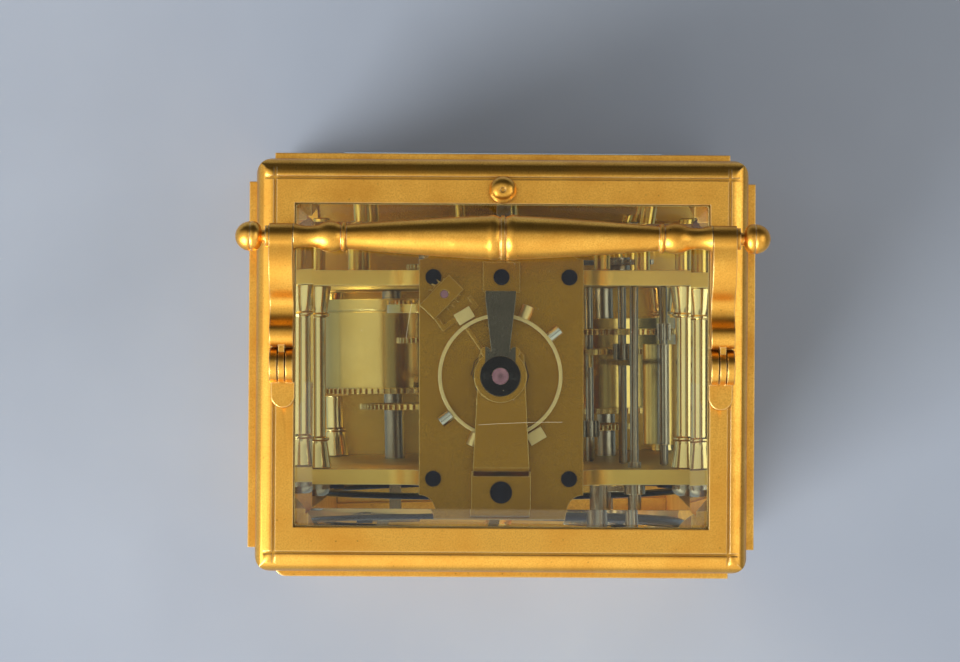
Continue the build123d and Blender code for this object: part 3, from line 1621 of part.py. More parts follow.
def platform_cocks():
    """The balance cock on its foot, the escape cock and the small front foot."""
    foot_low, foot_high = platform_top + seat_gap, cock_top - cock_step
    foot_half = cock_width_outer / 2 + 0.3
    foot_end = platform_y + platform_depth / 2 - 0.4
    cock = block(-foot_half, foot_half, cock_foot_y, foot_end, foot_low, foot_high)
    low = cock_top - cock_thickness
    inner, outer = cock_width_inner / 2, cock_width_outer / 2
    bar = section(
        (-outer, cock_foot_y - 0.8),
        (outer, cock_foot_y - 0.8),
        (inner, cock_inner_y + 1.2),
        (inner - 1.2, cock_inner_y),
        (-inner + 1.2, cock_inner_y),
        (-inner, cock_inner_y + 1.2),
        plane=Plane.XY,
    )
    cock += Pos(0, 0, low) * extrude(bar, cock_thickness)
    slope = section(
        (cock_foot_y - 0.85, low),
        (cock_foot_y - 0.8, cock_top),
        (cock_foot_y - 0.8 + cock_chamfer, cock_top - cock_chamfer / 2),
        (cock_foot_y + 0.6, foot_high + 0.25),
        (cock_foot_y + 0.9, foot_high - 0.1),
        (cock_foot_y + 0.9, foot_low),
        (cock_foot_y, foot_low),
        plane=Plane.YZ,
    )
    cock += extrude(slope, outer, both=True)
    cock -= rod((0, cock_screw_y, foot_low - 1), cock_shank + seat_gap, 12)
    cock -= rod((balance_x, balance_y, low - 1), jewel_radius + seat_gap, 6)
    leg = escape_radius + side_gap
    end, half = leg + escape_cock_foot, escape_cock_half
    low, high = platform_top + seat_gap, escape_cock_top
    arm = block(-escape_cock_reach, end, -half, half, high - 0.8, high)
    arm += block(leg, end, -half, escape_cock_lever_half, low, high)
    arm = Pos(escape_x, escape_y, 0) * Rot(Z=escape_cock_turn) * arm
    arm -= rod((escape_x, escape_y, high - 2), 0.7 + seat_gap, 4)
    foot_top = low + front_foot_height - seat_gap
    front = block(-3.4, 3.4, front_plate_y - 1.4, front_plate_back + 1.4, low, foot_top)
    front -= rod((0, (front_plate_y + front_plate_back) / 2, low - 1), screw_shank + seat_gap, 4)
    return [cock, arm, front]


def endstone_cap():
    """The dark cap over the balance's upper jewel, with two small screws."""
    z = cock_top + seat_gap / 2
    cap = rod((balance_x, balance_y, z), cap_radius, cap_thickness)
    cap -= rod((balance_x, balance_y, z - 1), jewel_radius + seat_gap, 4)
    for x in (-1, 1):
        head = rod((balance_x + x * 2.45, balance_y, z + cap_thickness - 0.1), 0.55, 0.35)
        cap += head
    return cap


def jewels():
    """Pierced ruby jewels: balance above and below, escape cock."""
    holes = [
        (balance_x, balance_y, cock_top - cock_thickness + 0.1, jewel_radius, cock_thickness + 0.9),
        (balance_x, balance_y, platform_top - 0.9, jewel_radius, 0.85),
        (escape_x, escape_y, escape_cock_top - 0.75, 0.7, 0.8),
    ]
    stones = []
    for x, y, z, radius, height in holes:
        stone = rod((x, y, z), radius, height)
        depth = 1.2 if z > platform_top + 3.5 else 0.6
        below = z - 1 if z > platform_top else z + height - depth
        stones.append(stone - rod((x, y, below), pivot_hole, depth + (1 if z > platform_top else 0.2)))
    return stones


def regulator():
    """The steel index: a ring round the cap, a tail to the front and a fork over the spring."""
    z = cock_top + seat_gap
    ring_inner = cap_radius + running_clearance
    lever = rod((balance_x, balance_y, z), cap_radius + 1.2, 0.5)
    tail = section((-1.6, -4.2), (-2.9, -15.4), (2.9, -15.4), (1.6, -4.2), plane=Plane.XY)
    lever += Pos(balance_x, balance_y, z) * extrude(tail, 0.5)
    for x in (-1, 1):
        lever += rod((balance_x + x * 2.7, balance_y - 4.4, z), 0.9, 0.5)
        lever += rod((balance_x + x * 0.35, balance_y - 6.4, z - 2.4), 0.18, 2.5)
    return lever - rod((balance_x, balance_y, z - 3), ring_inner, 6)


def balance_wheel():
    """A thin rim with one cross arm, its staff and the roller below."""
    place = (balance_x, balance_y, balance_z)
    wheel = rod(place, balance_radius, balance_height) - rod(
        (balance_x, balance_y, balance_z - 1), balance_radius - balance_rim, 4
    )
    # Each rim half is cut free near one end of the arm, as a compensation balance is.
    bar = Box(2 * balance_radius - 0.4, 1.1, balance_height, align=(Align.CENTER, Align.CENTER, Align.MIN))
    wheel += Pos(*place) * Rot(Z=balance_turn) * bar
    wheel += rod(place, 1.3, balance_height)
    low = platform_top - 0.55
    wheel += rod((balance_x, balance_y, low), 0.22, 0.8)
    wheel += rod((balance_x, balance_y, low + 0.75), staff_radius, cock_top - cock_thickness - low - 1.0)
    wheel += rod((balance_x, balance_y, cock_top - cock_thickness - 0.5), 0.22, 1.5)
    wheel += rod((balance_x, balance_y, lever_z + lever_height + 0.35), roller_radius, 0.45)
    return wheel


balance_turn = 90.0  # its arm lies along Y at rest
rim_screws = (38.0, 68.0, 218.0, 248.0)
rim_blocks = (121.0, 301.0)


def balance_screws():
    """Four timing screws and two flat blocks, outside the rim."""
    weights = []
    z = balance_z + balance_height / 2
    start = balance_radius + seat_gap / 4
    for angle in rim_screws:
        screw = stepped((0, 0, 0), "x", (1.1, 2.4))
        weights.append(Pos(balance_x, balance_y, z) * Rot(Z=angle) * Pos(start, 0, 0) * screw)
    for angle in rim_blocks:
        piece = block(0, 2.2, -1.6, 1.6, -0.5, 0.5)
        weights.append(Pos(balance_x, balance_y, z) * Rot(Z=angle) * Pos(start + 0.3, 0, 0) * piece)
    return weights


hairspring_z = balance_z + 1.55
hairspring_turns = 9


def hairspring():
    """A flat spiral of blued steel above the balance's arm."""
    inner, pitch = 1.5, 0.42
    points = []
    for i in range(hairspring_turns * 12 + 1):
        angle = 2 * pi * i / 12
        radius = inner + pitch * angle / (2 * pi)
        points.append((radius * cos(angle), radius * sin(angle)))
    outline = points + [
        ((hypot(x, y) + 0.12) * x / hypot(x, y), (hypot(x, y) + 0.12) * y / hypot(x, y))
        for x, y in reversed(points)
    ]
    face = make_face(Polyline(*outline, close=True))
    return Pos(balance_x, balance_y, hairspring_z) * extrude(face, 0.2)


def escape_wheel():
    """The escape wheel, its arbor and the upright pinion that the contrate wheel turns."""
    low = contrate_place[1] + contrate_pitch - 3.2
    top = escape_cock_top
    piece = rod((escape_x, escape_y, low), arbor_radius * 0.6, top - 1.0 - low)
    piece += rod((escape_x, escape_y, top - 1.1), 0.22, 0.8)
    pitch, depth = escape_pinion_pitch, leaf_depth * 0.8
    leaves = toothed(escape_leaves, pitch, leaf_share, leaf_height, depth, pi / 2, 0.5)
    piece += Pos(escape_x, escape_y, low) * extrude(leaves, 5.4)
    points = []
    step = 2 * pi / escape_wheel_teeth
    for i in range(escape_wheel_teeth):
        angle = i * step
        for turn, radius in ((0, 0.78), (0.32 * step, 1.0), (0.42 * step, 1.0), (0.4 * step, 0.78)):
            reach = radius * escape_radius
            points.append((reach * cos(angle + turn), reach * sin(angle + turn)))
    wheel = extrude(make_face(Polyline(*points, close=True)), 0.4)
    window = Circle(escape_radius * 0.62) - Circle(1.1) - Rectangle(8, 0.6) - Rectangle(0.6, 8)
    wheel -= extrude(window, 0.4)
    return piece + Pos(escape_x, escape_y, escape_wheel_z) * wheel


def pallet_lever():
    """The lever between escape wheel and balance, with two pallets beside the wheel."""
    x, y = lever_place
    to_balance = atan2(balance_y - y, balance_x - x)
    length = hypot(balance_x - x, balance_y - y) - 1.0
    lever = block(0, length, -0.35, 0.35, 0, lever_height)
    lever += block(length - 1.2, length + 0.4, -0.9, 0.9, 0, lever_height)
    lever -= block(length - 0.5, length + 1, -0.3, 0.3, -1, 2)
    lever += rod((0, 0, 0), 0.9, lever_height)
    for side in (-1, 1):
        lever += block(-0.6, 0.4, min(0, side * pallet_reach), max(0, side * pallet_reach), 0, lever_height)
        lever += block(-2.2, 0.4, side * pallet_reach - 0.4, side * pallet_reach + 0.4, 0, lever_height)
    lever = Pos(x, y, lever_z) * Rot(Z=degrees(to_balance)) * lever
    return lever + rod((x, y, platform_top - 0.55), 0.22, 2.2)


pallet_reach = 3.6


# --- Write the nodes ------------------------------------------------------------------------
save("base_moulding", base_moulding())
save("base_plate", base_plate())
save("base_screws", base_screws())
save("case_pillars", case_pillars())
save("cornice_frame", cornice_frame())
save("top_frame", top_frame())
save("top_glass", top_glass())
save("front_glass", front_glass())
save("side_glasses", side_glasses())
save("door_frame", door_frame_drilled())
save("door_glass", door_glass())
save("door_knob", door_knob())
save("handle_posts", handle_posts())
save("handle_arms", handle_arms())
save("handle_grip", handle_grip())
save("handle_finials", handle_finials())
save("repeat_button", repeat_button())
save("repeat_lever", repeat_lever())
save("front_plate", movement_plate(True))
save("back_plate", movement_plate(False))
save("movement_pillars", movement_pillars())
save("pillar_nuts", pillar_nuts())
save("back_plate_screws", plate_screws(), click_screws())
save("front_posts", front_posts())
save("dial_mask", dial_mask())
save("dial", dial())
save("cannon_pinion", cannon_pinion())
save("minute_hand", minute_hand())
save("minute_wheel", minute_wheel())
save("hour_wheel", hour_wheel())
save("hour_hand", hour_hand())
save("rack", rack())
save("going_barrel", going_barrel())
save("going_winding_arbor", winding_arbor(barrel_place, barrel_front_y))
save("going_click", click(barrel_place, 0.35))
save("second_wheel", second_wheel())
save("centre_wheel", centre_wheel())
save("third_wheel", third_wheel())
save("contrate_wheel", contrate_wheel())
save("strike_barrel", strike_barrel())
save("strike_winding_arbor", winding_arbor(strike_barrel_place, strike_drum_y))
save("strike_click", click(strike_barrel_place, -0.35))
save("strike_second_wheel", strike_second_wheel())
save("pin_wheel", pin_wheel())
save("gathering_wheel", gathering_wheel())
save("fly", fly())
save("hammer", hammer())
save("gong", gong())
save("gong_block", gong_block())
save("platform_plate", platform_plate())
save("platform_screws", platform_screws())
save("platform_cocks", platform_cocks())
save("endstone_cap", endstone_cap())
save("jewels", jewels())
save("regulator", regulator())
save("balance_wheel", balance_wheel())
save("balance_screws", balance_screws())
save("hairspring", hairspring())
save("escape_wheel", escape_wheel())
save("pallet_lever", pallet_lever())
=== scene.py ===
import bpy
import bmesh
import json
import math
from mathutils import Matrix, Vector


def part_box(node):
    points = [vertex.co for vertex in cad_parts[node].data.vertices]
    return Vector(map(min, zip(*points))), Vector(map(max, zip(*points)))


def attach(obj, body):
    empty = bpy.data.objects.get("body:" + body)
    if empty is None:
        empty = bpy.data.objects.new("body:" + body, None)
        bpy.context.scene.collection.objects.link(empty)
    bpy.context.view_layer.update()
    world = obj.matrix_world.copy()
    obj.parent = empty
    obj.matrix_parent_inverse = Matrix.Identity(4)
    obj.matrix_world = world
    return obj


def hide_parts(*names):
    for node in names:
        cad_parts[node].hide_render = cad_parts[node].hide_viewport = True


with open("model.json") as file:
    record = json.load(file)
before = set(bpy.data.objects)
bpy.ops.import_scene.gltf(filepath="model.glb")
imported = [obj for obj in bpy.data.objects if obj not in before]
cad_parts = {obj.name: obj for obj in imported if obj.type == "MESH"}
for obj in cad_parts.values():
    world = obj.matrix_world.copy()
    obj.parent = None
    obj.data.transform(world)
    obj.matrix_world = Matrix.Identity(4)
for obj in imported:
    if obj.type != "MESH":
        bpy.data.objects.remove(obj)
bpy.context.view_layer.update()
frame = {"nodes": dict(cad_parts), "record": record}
nodes = frame["nodes"]
behaviour = frame["record"]["behaviour"]
bodyOf = {node: body for body, members in behaviour["bodies"].items() for node in members}
axisOf = {joint["child"]: joint["pos_m"] for joint in behaviour["joints"] if "pos_m" in joint}
mm = 0.001
print("frame loaded:", len(nodes), "nodes")


# Colours and shader nodes

def linear(hexColour):
    values = []
    for i in (1, 3, 5):
        c = int(hexColour[i:i + 2], 16) / 255
        values.append(c / 12.92 if c <= 0.04045 else ((c + 0.055) / 1.055) ** 2.4)
    return (*values, 1.0)


def addNode(tree, kind, sockets=None, **settings):
    node = tree.nodes.new(kind)
    for name, value in settings.items():
        setattr(node, name, value)
    for name, value in (sockets or {}).items():
        socket = node.inputs[name]
        if isinstance(value, bpy.types.NodeSocket):
            tree.links.new(value, socket)
        else:
            socket.default_value = value
    return node


def startMaterial(name):
    material = bpy.data.materials.new(name)
    material.use_nodes = True
    tree = material.node_tree
    tree.nodes.clear()
    place = addNode(tree, "ShaderNodeTexCoord").outputs["Object"]
    return material, tree, place


def finishMaterial(tree, shader):
    addNode(tree, "ShaderNodeOutputMaterial", {"Surface": shader})


# Metals. Each finish gives its colours, how rough it is, the size of its grain and patches in
# millimetres, how strongly it is pitted and rubbed at its edges, and how much painted shade darkens its
# corners.

metalFinishes = {
    # Fire gilding over cast and filed brass: deep yellow, satin, a fine stipple, lighter on handled edges
    "fireGiltBrass": {
        "base": "#FFC65A", "deep": "#D08E32", "worn": "#FFEAB0", "pitAndShadeTone": "#5A3A12",
        "rough": (0.28, 0.40), "grain": 0.28, "stretch": (1, 1, 1), "bump": 0.34,
        "patch": 9.0, "pits": 0.85, "edge": 0.30, "cornerShade": 0.6,
    },
    # Movement brass, grained with stone and gilt: paler, faces nearly mirror-like
    "gildedMovementBrass": {
        "base": "#F4CC6C", "deep": "#E0AF4C", "worn": "#FFEDB8", "pitAndShadeTone": "#5A4214",
        "rough": (0.18, 0.30), "grain": 0.14, "stretch": (1, 1, 6), "bump": 0.06,
        "patch": 14.0, "pits": 0.3, "edge": 0.25, "cornerShade": 0.3,
    },
    # Movement plates, gilt and left satin from the graining, so their narrow top edges catch the whole sky
    "gildedPlateBrass": {
        "base": "#FBD678", "deep": "#E8B858", "worn": "#FFF0C2", "pitAndShadeTone": "#5A4214",
        "rough": (0.32, 0.42), "grain": 0.14, "stretch": (1, 1, 6), "bump": 0.06,
        "patch": 14.0, "pits": 0.3, "edge": 0.25, "cornerShade": 0.3,
    },
    # Pillars between the plates: turned, burnished and gilt, almost a mirror
    "burnishedPillarBrass": {
        "base": "#FFE7AE", "deep": "#F2CC7C", "worn": "#FFF6DA", "pitAndShadeTone": "#5A4214",
        "rough": (0.08, 0.16), "grain": 0.10, "stretch": (1, 6, 1), "bump": 0.03,
        "patch": 14.0, "pits": 0.2, "edge": 0.15, "cornerShade": 0.5,
    },
    # Platform plates: brass grained with a slip stone and lacquered, olive where the lacquer has aged
    "grainedPlatformBrass": {
        "base": "#CC942C", "deep": "#966A1E", "worn": "#FFE6A2", "pitAndShadeTone": "#3E2C0C",
        "rough": (0.22, 0.34), "grain": 0.16, "stretch": (6, 1, 1), "bump": 0.12,
        "patch": 11.0, "pits": 0.3, "edge": 0.26, "cornerShade": 0.5,
    },
    # Wheels and barrels: cut brass, polished and lacquered
    "polishedWheelBrass": {
        "base": "#E4C278", "deep": "#CBA452", "worn": "#F8E8B4", "pitAndShadeTone": "#4E3A12",
        "rough": (0.12, 0.22), "grain": 0.10, "stretch": (1, 1, 1), "bump": 0.04,
        "patch": 10.0, "pits": 0.15, "edge": 0.2, "cornerShade": 0.4,
    },
    # Dial mask: brass, matted and gilt
    "mattedMaskBrass": {
        "base": "#D9A850", "deep": "#B98534", "worn": "#F0D290", "pitAndShadeTone": "#54380F",
        "rough": (0.38, 0.52), "grain": 0.22, "stretch": (1, 1, 1), "bump": 0.30,
        "patch": 12.0, "pits": 0.1, "edge": 0.2, "cornerShade": 0.5,
    },
    # Heat-blued steel screws, gong and hands: almost black from above, blue at a slant
    "heatBluedSteel": {
        "base": "#161C3A", "deep": "#0B0D1C", "worn": "#3E5684", "pitAndShadeTone": "#07080E",
        "rough": (0.08, 0.15), "grain": 0.08, "stretch": (1, 1, 1), "bump": 0.04,
        "patch": 2.5, "pits": 0.1, "edge": 0.10, "cornerShade": 0.3,
    },
    # Hardened steel with a black polish: regulator, end cap
    "blackPolishedSteel": {
        "base": "#1D1D20", "deep": "#101013", "worn": "#96979B", "pitAndShadeTone": "#0A0A0C",
        "rough": (0.10, 0.18), "grain": 0.10, "stretch": (6, 1, 1), "bump": 0.05,
        "patch": 4.0, "pits": 0.1, "edge": 0.12, "cornerShade": 0.3,
    },
    # The index: hardened steel, grained along its tail and left grey
    "greyGrainedSteel": {
        "base": "#655B4E", "deep": "#40392F", "worn": "#D5CCB8", "pitAndShadeTone": "#141210",
        "rough": (0.26, 0.38), "grain": 0.12, "stretch": (1, 0.15, 1), "bump": 0.10,
        "patch": 3.0, "pits": 0.1, "edge": 0.15, "cornerShade": 0.4,
    },
    # Balance: brass rim, turned and gilt to a pale satin
    "paleGiltBalance": {
        "base": "#E8CE94", "deep": "#D2B070", "worn": "#FCEFC8", "pitAndShadeTone": "#4E3A12",
        "rough": (0.30, 0.42), "grain": 0.10, "stretch": (1, 1, 1), "bump": 0.05,
        "patch": 5.0, "pits": 0.1, "edge": 0.12, "cornerShade": 0.3,
    },
    # Timing screws of steel, faced and polished white
    "whitePolishedScrew": {
        "base": "#E2DDD2", "deep": "#B5AEA2", "worn": "#FBF9F2", "pitAndShadeTone": "#3A332B",
        "rough": (0.12, 0.22), "grain": 0.10, "stretch": (1, 1, 1), "bump": 0.04,
        "patch": 3.0, "pits": 0.1, "edge": 0.12, "cornerShade": 0.5,
    },
    # Turned steel arbors, pinions and stems
    "turnedSteel": {
        "base": "#B0A18C", "deep": "#85786A", "worn": "#E2D8C6", "pitAndShadeTone": "#241D17",
        "rough": (0.16, 0.28), "grain": 0.10, "stretch": (1, 5, 1), "bump": 0.05,
        "patch": 6.0, "pits": 0.2, "edge": 0.15, "cornerShade": 0.4,
    },
}


# How the finishes are laid: where noise starts and ends to count, and sizes in millimetres
metalWearAndShade = {
    "patchSpread": (0.35, 0.68), "patchDepth": 0.6, "grainSpread": (0.35, 0.68), "grainDepth": 0.6,
    # The reach and spread after the pits set where painted shade darkens grooves and inner corners
    "pitSpacing": 1.7, "pitReach": (0.06, 0.13), "shadeReach": 0.7, "shadeSpread": (0.75, 0.35),
    "edgeSpread": (0.99, 0.86), "edgeDepth": 0.85, "roughSpread": (0.35, 0.65), "bumpDepth": 0.02,
}


def metal(name):
    finish, wearAndShade = metalFinishes[name], metalWearAndShade
    material, tree, place = startMaterial(name)
    patches = addNode(tree, "ShaderNodeTexNoise", {
        "Vector": place, "Scale": 1 / (finish["patch"] * mm), "Detail": 3.0, "Roughness": 0.55}).outputs[0]
    stretched = addNode(tree, "ShaderNodeMapping", {"Vector": place, "Scale": finish["stretch"]}).outputs[0]
    grain = addNode(tree, "ShaderNodeTexNoise", {
        "Vector": stretched, "Scale": 1 / (finish["grain"] * mm), "Detail": 2.0, "Roughness": 0.6}).outputs[0]
    patchMask = addNode(tree, "ShaderNodeMapRange", {
        "Value": patches, "From Min": wearAndShade["patchSpread"][0], "From Max": wearAndShade["patchSpread"][1],
        "To Min": 0.0, "To Max": wearAndShade["patchDepth"]}).outputs[0]
    tone = addNode(tree, "ShaderNodeMix", {
        0: patchMask, 6: linear(finish["base"]), 7: linear(finish["deep"])}, data_type="RGBA").outputs[2]
    grainMask = addNode(tree, "ShaderNodeMapRange", {
        "Value": grain, "From Min": wearAndShade["grainSpread"][0], "From Max": wearAndShade["grainSpread"][1],
        "To Min": 0.0, "To Max": wearAndShade["grainDepth"]}).outputs[0]
    tone = addNode(tree, "ShaderNodeMix", {
        0: grainMask, 6: tone, 7: linear(finish["deep"])}, data_type="RGBA").outputs[2]
    # Sparse dark pits where the gilding has gone, about one in 2 mm and drawn coarse enough to show
    cells = addNode(tree, "ShaderNodeTexVoronoi", {
        "Vector": place, "Scale": 1 / (wearAndShade["pitSpacing"] * mm), "Randomness": 1.0})
    pit = addNode(tree, "ShaderNodeMapRange", {
        "Value": cells.outputs["Distance"], "From Min": wearAndShade["pitReach"][0], "From Max": wearAndShade["pitReach"][1],
        "To Min": finish["pits"], "To Max": 0.0}).outputs[0]
    pit = addNode(tree, "ShaderNodeMath", {0: pit, 1: patchMask}, operation="MULTIPLY").outputs[0]
    tone = addNode(tree, "ShaderNodeMix", {
        0: pit, 6: tone, 7: linear(finish["pitAndShadeTone"])}, data_type="RGBA").outputs[2]
    # Painted shade: grooves and inner corners, where ambient occlusion finds little open sky, are darkened
    # towards the dark brown tone
    clear = addNode(tree, "ShaderNodeAmbientOcclusion", {
        "Distance": wearAndShade["shadeReach"] * mm}, samples=4).outputs["AO"]
    cornerShade = addNode(tree, "ShaderNodeMapRange", {
        "Value": clear, "From Min": wearAndShade["shadeSpread"][0], "From Max": wearAndShade["shadeSpread"][1],
        "To Min": 0.0, "To Max": finish["cornerShade"]}).outputs[0]
    tone = addNode(tree, "ShaderNodeMix", {
        0: cornerShade, 6: tone, 7: linear(finish["pitAndShadeTone"])}, data_type="RGBA").outputs[2]
    # Edges are rubbed brighter: a rounded normal that leaves the true one marks them
    rounded = addNode(tree, "ShaderNodeBevel", {"Radius": finish["edge"] * mm}, samples=3).outputs[0]
    true = addNode(tree, "ShaderNodeNewGeometry").outputs["Normal"]
    match = addNode(tree, "ShaderNodeVectorMath", {
        0: rounded, 1: true}, operation="DOT_PRODUCT").outputs["Value"]
    edge = addNode(tree, "ShaderNodeMapRange", {
        "Value": match, "From Min": wearAndShade["edgeSpread"][0], "From Max": wearAndShade["edgeSpread"][1],
        "To Min": 0.0, "To Max": wearAndShade["edgeDepth"]}).outputs[0]
    tone = addNode(tree, "ShaderNodeMix", {
        0: edge, 6: tone, 7: linear(finish["worn"])}, data_type="RGBA").outputs[2]
    low, high = finish["rough"]
    blend = addNode(tree, "ShaderNodeMix", {0: 0.5, 2: patches, 3: grain}, data_type="FLOAT").outputs[0]
    rough = addNode(tree, "ShaderNodeMapRange", {
        "Value": blend, "From Min": wearAndShade["roughSpread"][0], "From Max": wearAndShade["roughSpread"][1],
        "To Min": low, "To Max": high}).outputs[0]
    normal = addNode(tree, "ShaderNodeBump", {
        "Height": grain, "Normal": rounded, "Strength": finish["bump"],
        "Distance": wearAndShade["bumpDepth"] * mm}).outputs[0]
    shader = addNode(tree, "ShaderNodeBsdfPrincipled", {
        "Base Color": tone, "Metallic": 1.0, "Roughness": rough, "Normal": normal})
    finishMaterial(tree, shader.outputs[0])
    return material


metals = {name: metal(name) for name in metalFinishes}
print("metals made:", len(metals))


# Glass: polished plate, faintly green in its thickness, with dust. The top one has two hairline scratches.

glassLook = {
    "tint": "#F3F9F3", "shadowTint": "#EDF4ED", "rough": 0.01, "ior": 1.52,
    "waveSize": 14.0, "waveStrength": 0.03, "waveDepth": 0.1,
    "dustSpacing": 2.1, "dustSize": 0.022, "dustStart": 0.55, "dustTint": "#DCD0B0",
    "dustTop": 0.55, "dustSides": 0.3, "outerReach": 0.2,
    "groundPale": "#C9CFAF", "groundDeep": "#A3AC8C", "groundGrit": 0.4,
    # scratch: middle, length and width in millimetres, turn in degrees
    "scratches": [((-3.4, 10.2), 15.0, 0.03, 2.0), ((16.6, -8.0), 6.5, 0.025, 80.0)],
    "wanderSize": 22.0, "wanderReach": 1.6,
    "turnsInside": 3.5,  # past so many meetings with glass, light goes straight on
}


def scratchMask(tree, place, scratch):
    (x, y), length, width, turn = scratch
    reach = glassLook["wanderReach"] * mm
    local = addNode(tree, "ShaderNodeVectorMath", {
        0: place, 1: (x * mm, y * mm, 0)}, operation="SUBTRACT").outputs[0]
    local = addNode(tree, "ShaderNodeVectorRotate", {
        "Vector": local, "Angle": math.radians(-turn)}, rotation_type="Z_AXIS").outputs[0]
    parts = addNode(tree, "ShaderNodeSeparateXYZ", {0: local}).outputs
    wander = addNode(tree, "ShaderNodeTexNoise", {
        "Vector": place, "Scale": 1 / (glassLook["wanderSize"] * mm), "Detail": 0.0}).outputs[0]
    drift = addNode(tree, "ShaderNodeMath", {
        0: wander, 1: reach, 2: parts["Y"]}, operation="MULTIPLY_ADD").outputs[0]
    across = addNode(tree, "ShaderNodeMath", {
        0: drift, 1: reach / 2, 2: width * mm}, operation="COMPARE").outputs[0]
    along = addNode(tree, "ShaderNodeMath", {
        0: parts["X"], 1: 0.0, 2: length / 2 * mm}, operation="COMPARE").outputs[0]
    return addNode(tree, "ShaderNodeMath", {0: across, 1: along}, operation="MULTIPLY").outputs[0]


def plateGlass(name, dust, scratches, outerFace=None):
    material, tree, place = startMaterial(name)
    wave = addNode(tree, "ShaderNodeTexNoise", {
        "Vector": place, "Scale": 1 / (glassLook["waveSize"] * mm), "Detail": 1.0}).outputs[0]
    normal = addNode(tree, "ShaderNodeBump", {
        "Height": wave, "Strength": glassLook["waveStrength"],
        "Distance": glassLook["waveDepth"] * mm}).outputs[0]
    glass = addNode(tree, "ShaderNodeBsdfPrincipled", {
        "Base Color": linear(glassLook["tint"]), "Roughness": glassLook["rough"],
        "IOR": glassLook["ior"], "Transmission Weight": 1.0, "Normal": normal}).outputs[0]
    cells = addNode(tree, "ShaderNodeTexVoronoi", {
        "Vector": place, "Scale": 1 / (glassLook["dustSpacing"] * mm), "Randomness": 1.0})
    # Specks vary in size from cell to cell, and most cells have next to none
    cellTone = addNode(tree, "ShaderNodeSeparateColor", {0: cells.outputs["Color"]}).outputs[0]
    speckSize = addNode(tree, "ShaderNodeMapRange", {
        "Value": cellTone, "From Min": glassLook["dustStart"], "From Max": 1.0, "To Min": 0.0,
        "To Max": glassLook["dustSize"] * 2}).outputs[0]
    mark = addNode(tree, "ShaderNodeMath", {
        0: cells.outputs["Distance"], 1: speckSize}, operation="LESS_THAN").outputs[0]
    for scratch in scratches:
        mask = scratchMask(tree, place, scratch)
        mark = addNode(tree, "ShaderNodeMath", {0: mark, 1: mask}, operation="MAXIMUM").outputs[0]
    if outerFace is not None:
        # Dust and scratches lie on the outer face alone
        height = addNode(tree, "ShaderNodeSeparateXYZ", {0: place}).outputs["Z"]
        outer = addNode(tree, "ShaderNodeMath", {
            0: height, 1: outerFace, 2: glassLook["outerReach"] * mm}, operation="COMPARE").outputs[0]
        mark = addNode(tree, "ShaderNodeMath", {0: mark, 1: outer}, operation="MULTIPLY").outputs[0]
    mark = addNode(tree, "ShaderNodeMath", {0: mark, 1: dust}, operation="MULTIPLY").outputs[0]
    lint = addNode(tree, "ShaderNodeBsdfDiffuse", {"Color": linear(glassLook["dustTint"])}).outputs[0]
    dusty = addNode(tree, "ShaderNodeMixShader", {0: mark, 1: glass, 2: lint}).outputs[0]
    # Light passes straight through to what is behind, as it would with no caustics to trace
    path = addNode(tree, "ShaderNodeLightPath").outputs
    clear = addNode(tree, "ShaderNodeBsdfTransparent", {
        "Color": linear(glassLook["shadowTint"])}).outputs[0]
    unseen = addNode(tree, "ShaderNodeMath", {
        0: path["Is Shadow Ray"], 1: path["Is Diffuse Ray"]}, operation="MAXIMUM").outputs[0]
    # Light caught inside a bevel gets out again after a few turns
    caught = addNode(tree, "ShaderNodeMath", {
        0: path["Ray Depth"], 1: glassLook["turnsInside"]}, operation="GREATER_THAN").outputs[0]
    unseen = addNode(tree, "ShaderNodeMath", {0: unseen, 1: caught}, operation="MAXIMUM").outputs[0]
    shader = addNode(tree, "ShaderNodeMixShader", {0: unseen, 1: dusty, 2: clear}).outputs[0]
    finishMaterial(tree, shader)
    return material


def groundGlass():
    # Edges of the plates, ground with grit and left matt: pale green, no shine
    material, tree, place = startMaterial("groundGlassEdge")
    grit = addNode(tree, "ShaderNodeTexNoise", {
        "Vector": place, "Scale": 1 / (glassLook["groundGrit"] * mm), "Detail": 2.0}).outputs[0]
    pale, deep = linear(glassLook["groundPale"]), linear(glassLook["groundDeep"])
    tone = addNode(tree, "ShaderNodeMix", {0: grit, 6: pale, 7: deep}, data_type="RGBA").outputs[2]
    normal = addNode(tree, "ShaderNodeBump", {
        "Height": grit, "Strength": 0.2, "Distance": 0.02 * mm}).outputs[0]
    shader = addNode(tree, "ShaderNodeBsdfPrincipled", {
        "Base Color": tone, "Roughness": 0.8, "Normal": normal})
    finishMaterial(tree, shader.outputs[0])
    return material


def plateEdge(node, axes):
    # Tells whether a face is one of the narrow ones round the plate
    low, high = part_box(node)
    return lambda spot: min(min(spot[i] - low[i], high[i] - spot[i]) for i in axes) < 0.05 * mm


edgeGlass = groundGlass()
topPlateGlass = plateGlass(
    "bevelledTopPlateGlass", glassLook["dustTop"], glassLook["scratches"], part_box("top_glass")[1].z)
sidePlateGlass = plateGlass("bevelledSidePlateGlass", glassLook["dustSides"], [])


rubyLook = {
    "pale": "#B98494", "deep": "#7E4A60", "sink": "#54303C", "haze": 0.8,
    "sinkRadii": (0.25, 0.75), "sinkDepth": 0.7, "rough": 0.08, "clear": 0.35, "coat": 0.6,
}


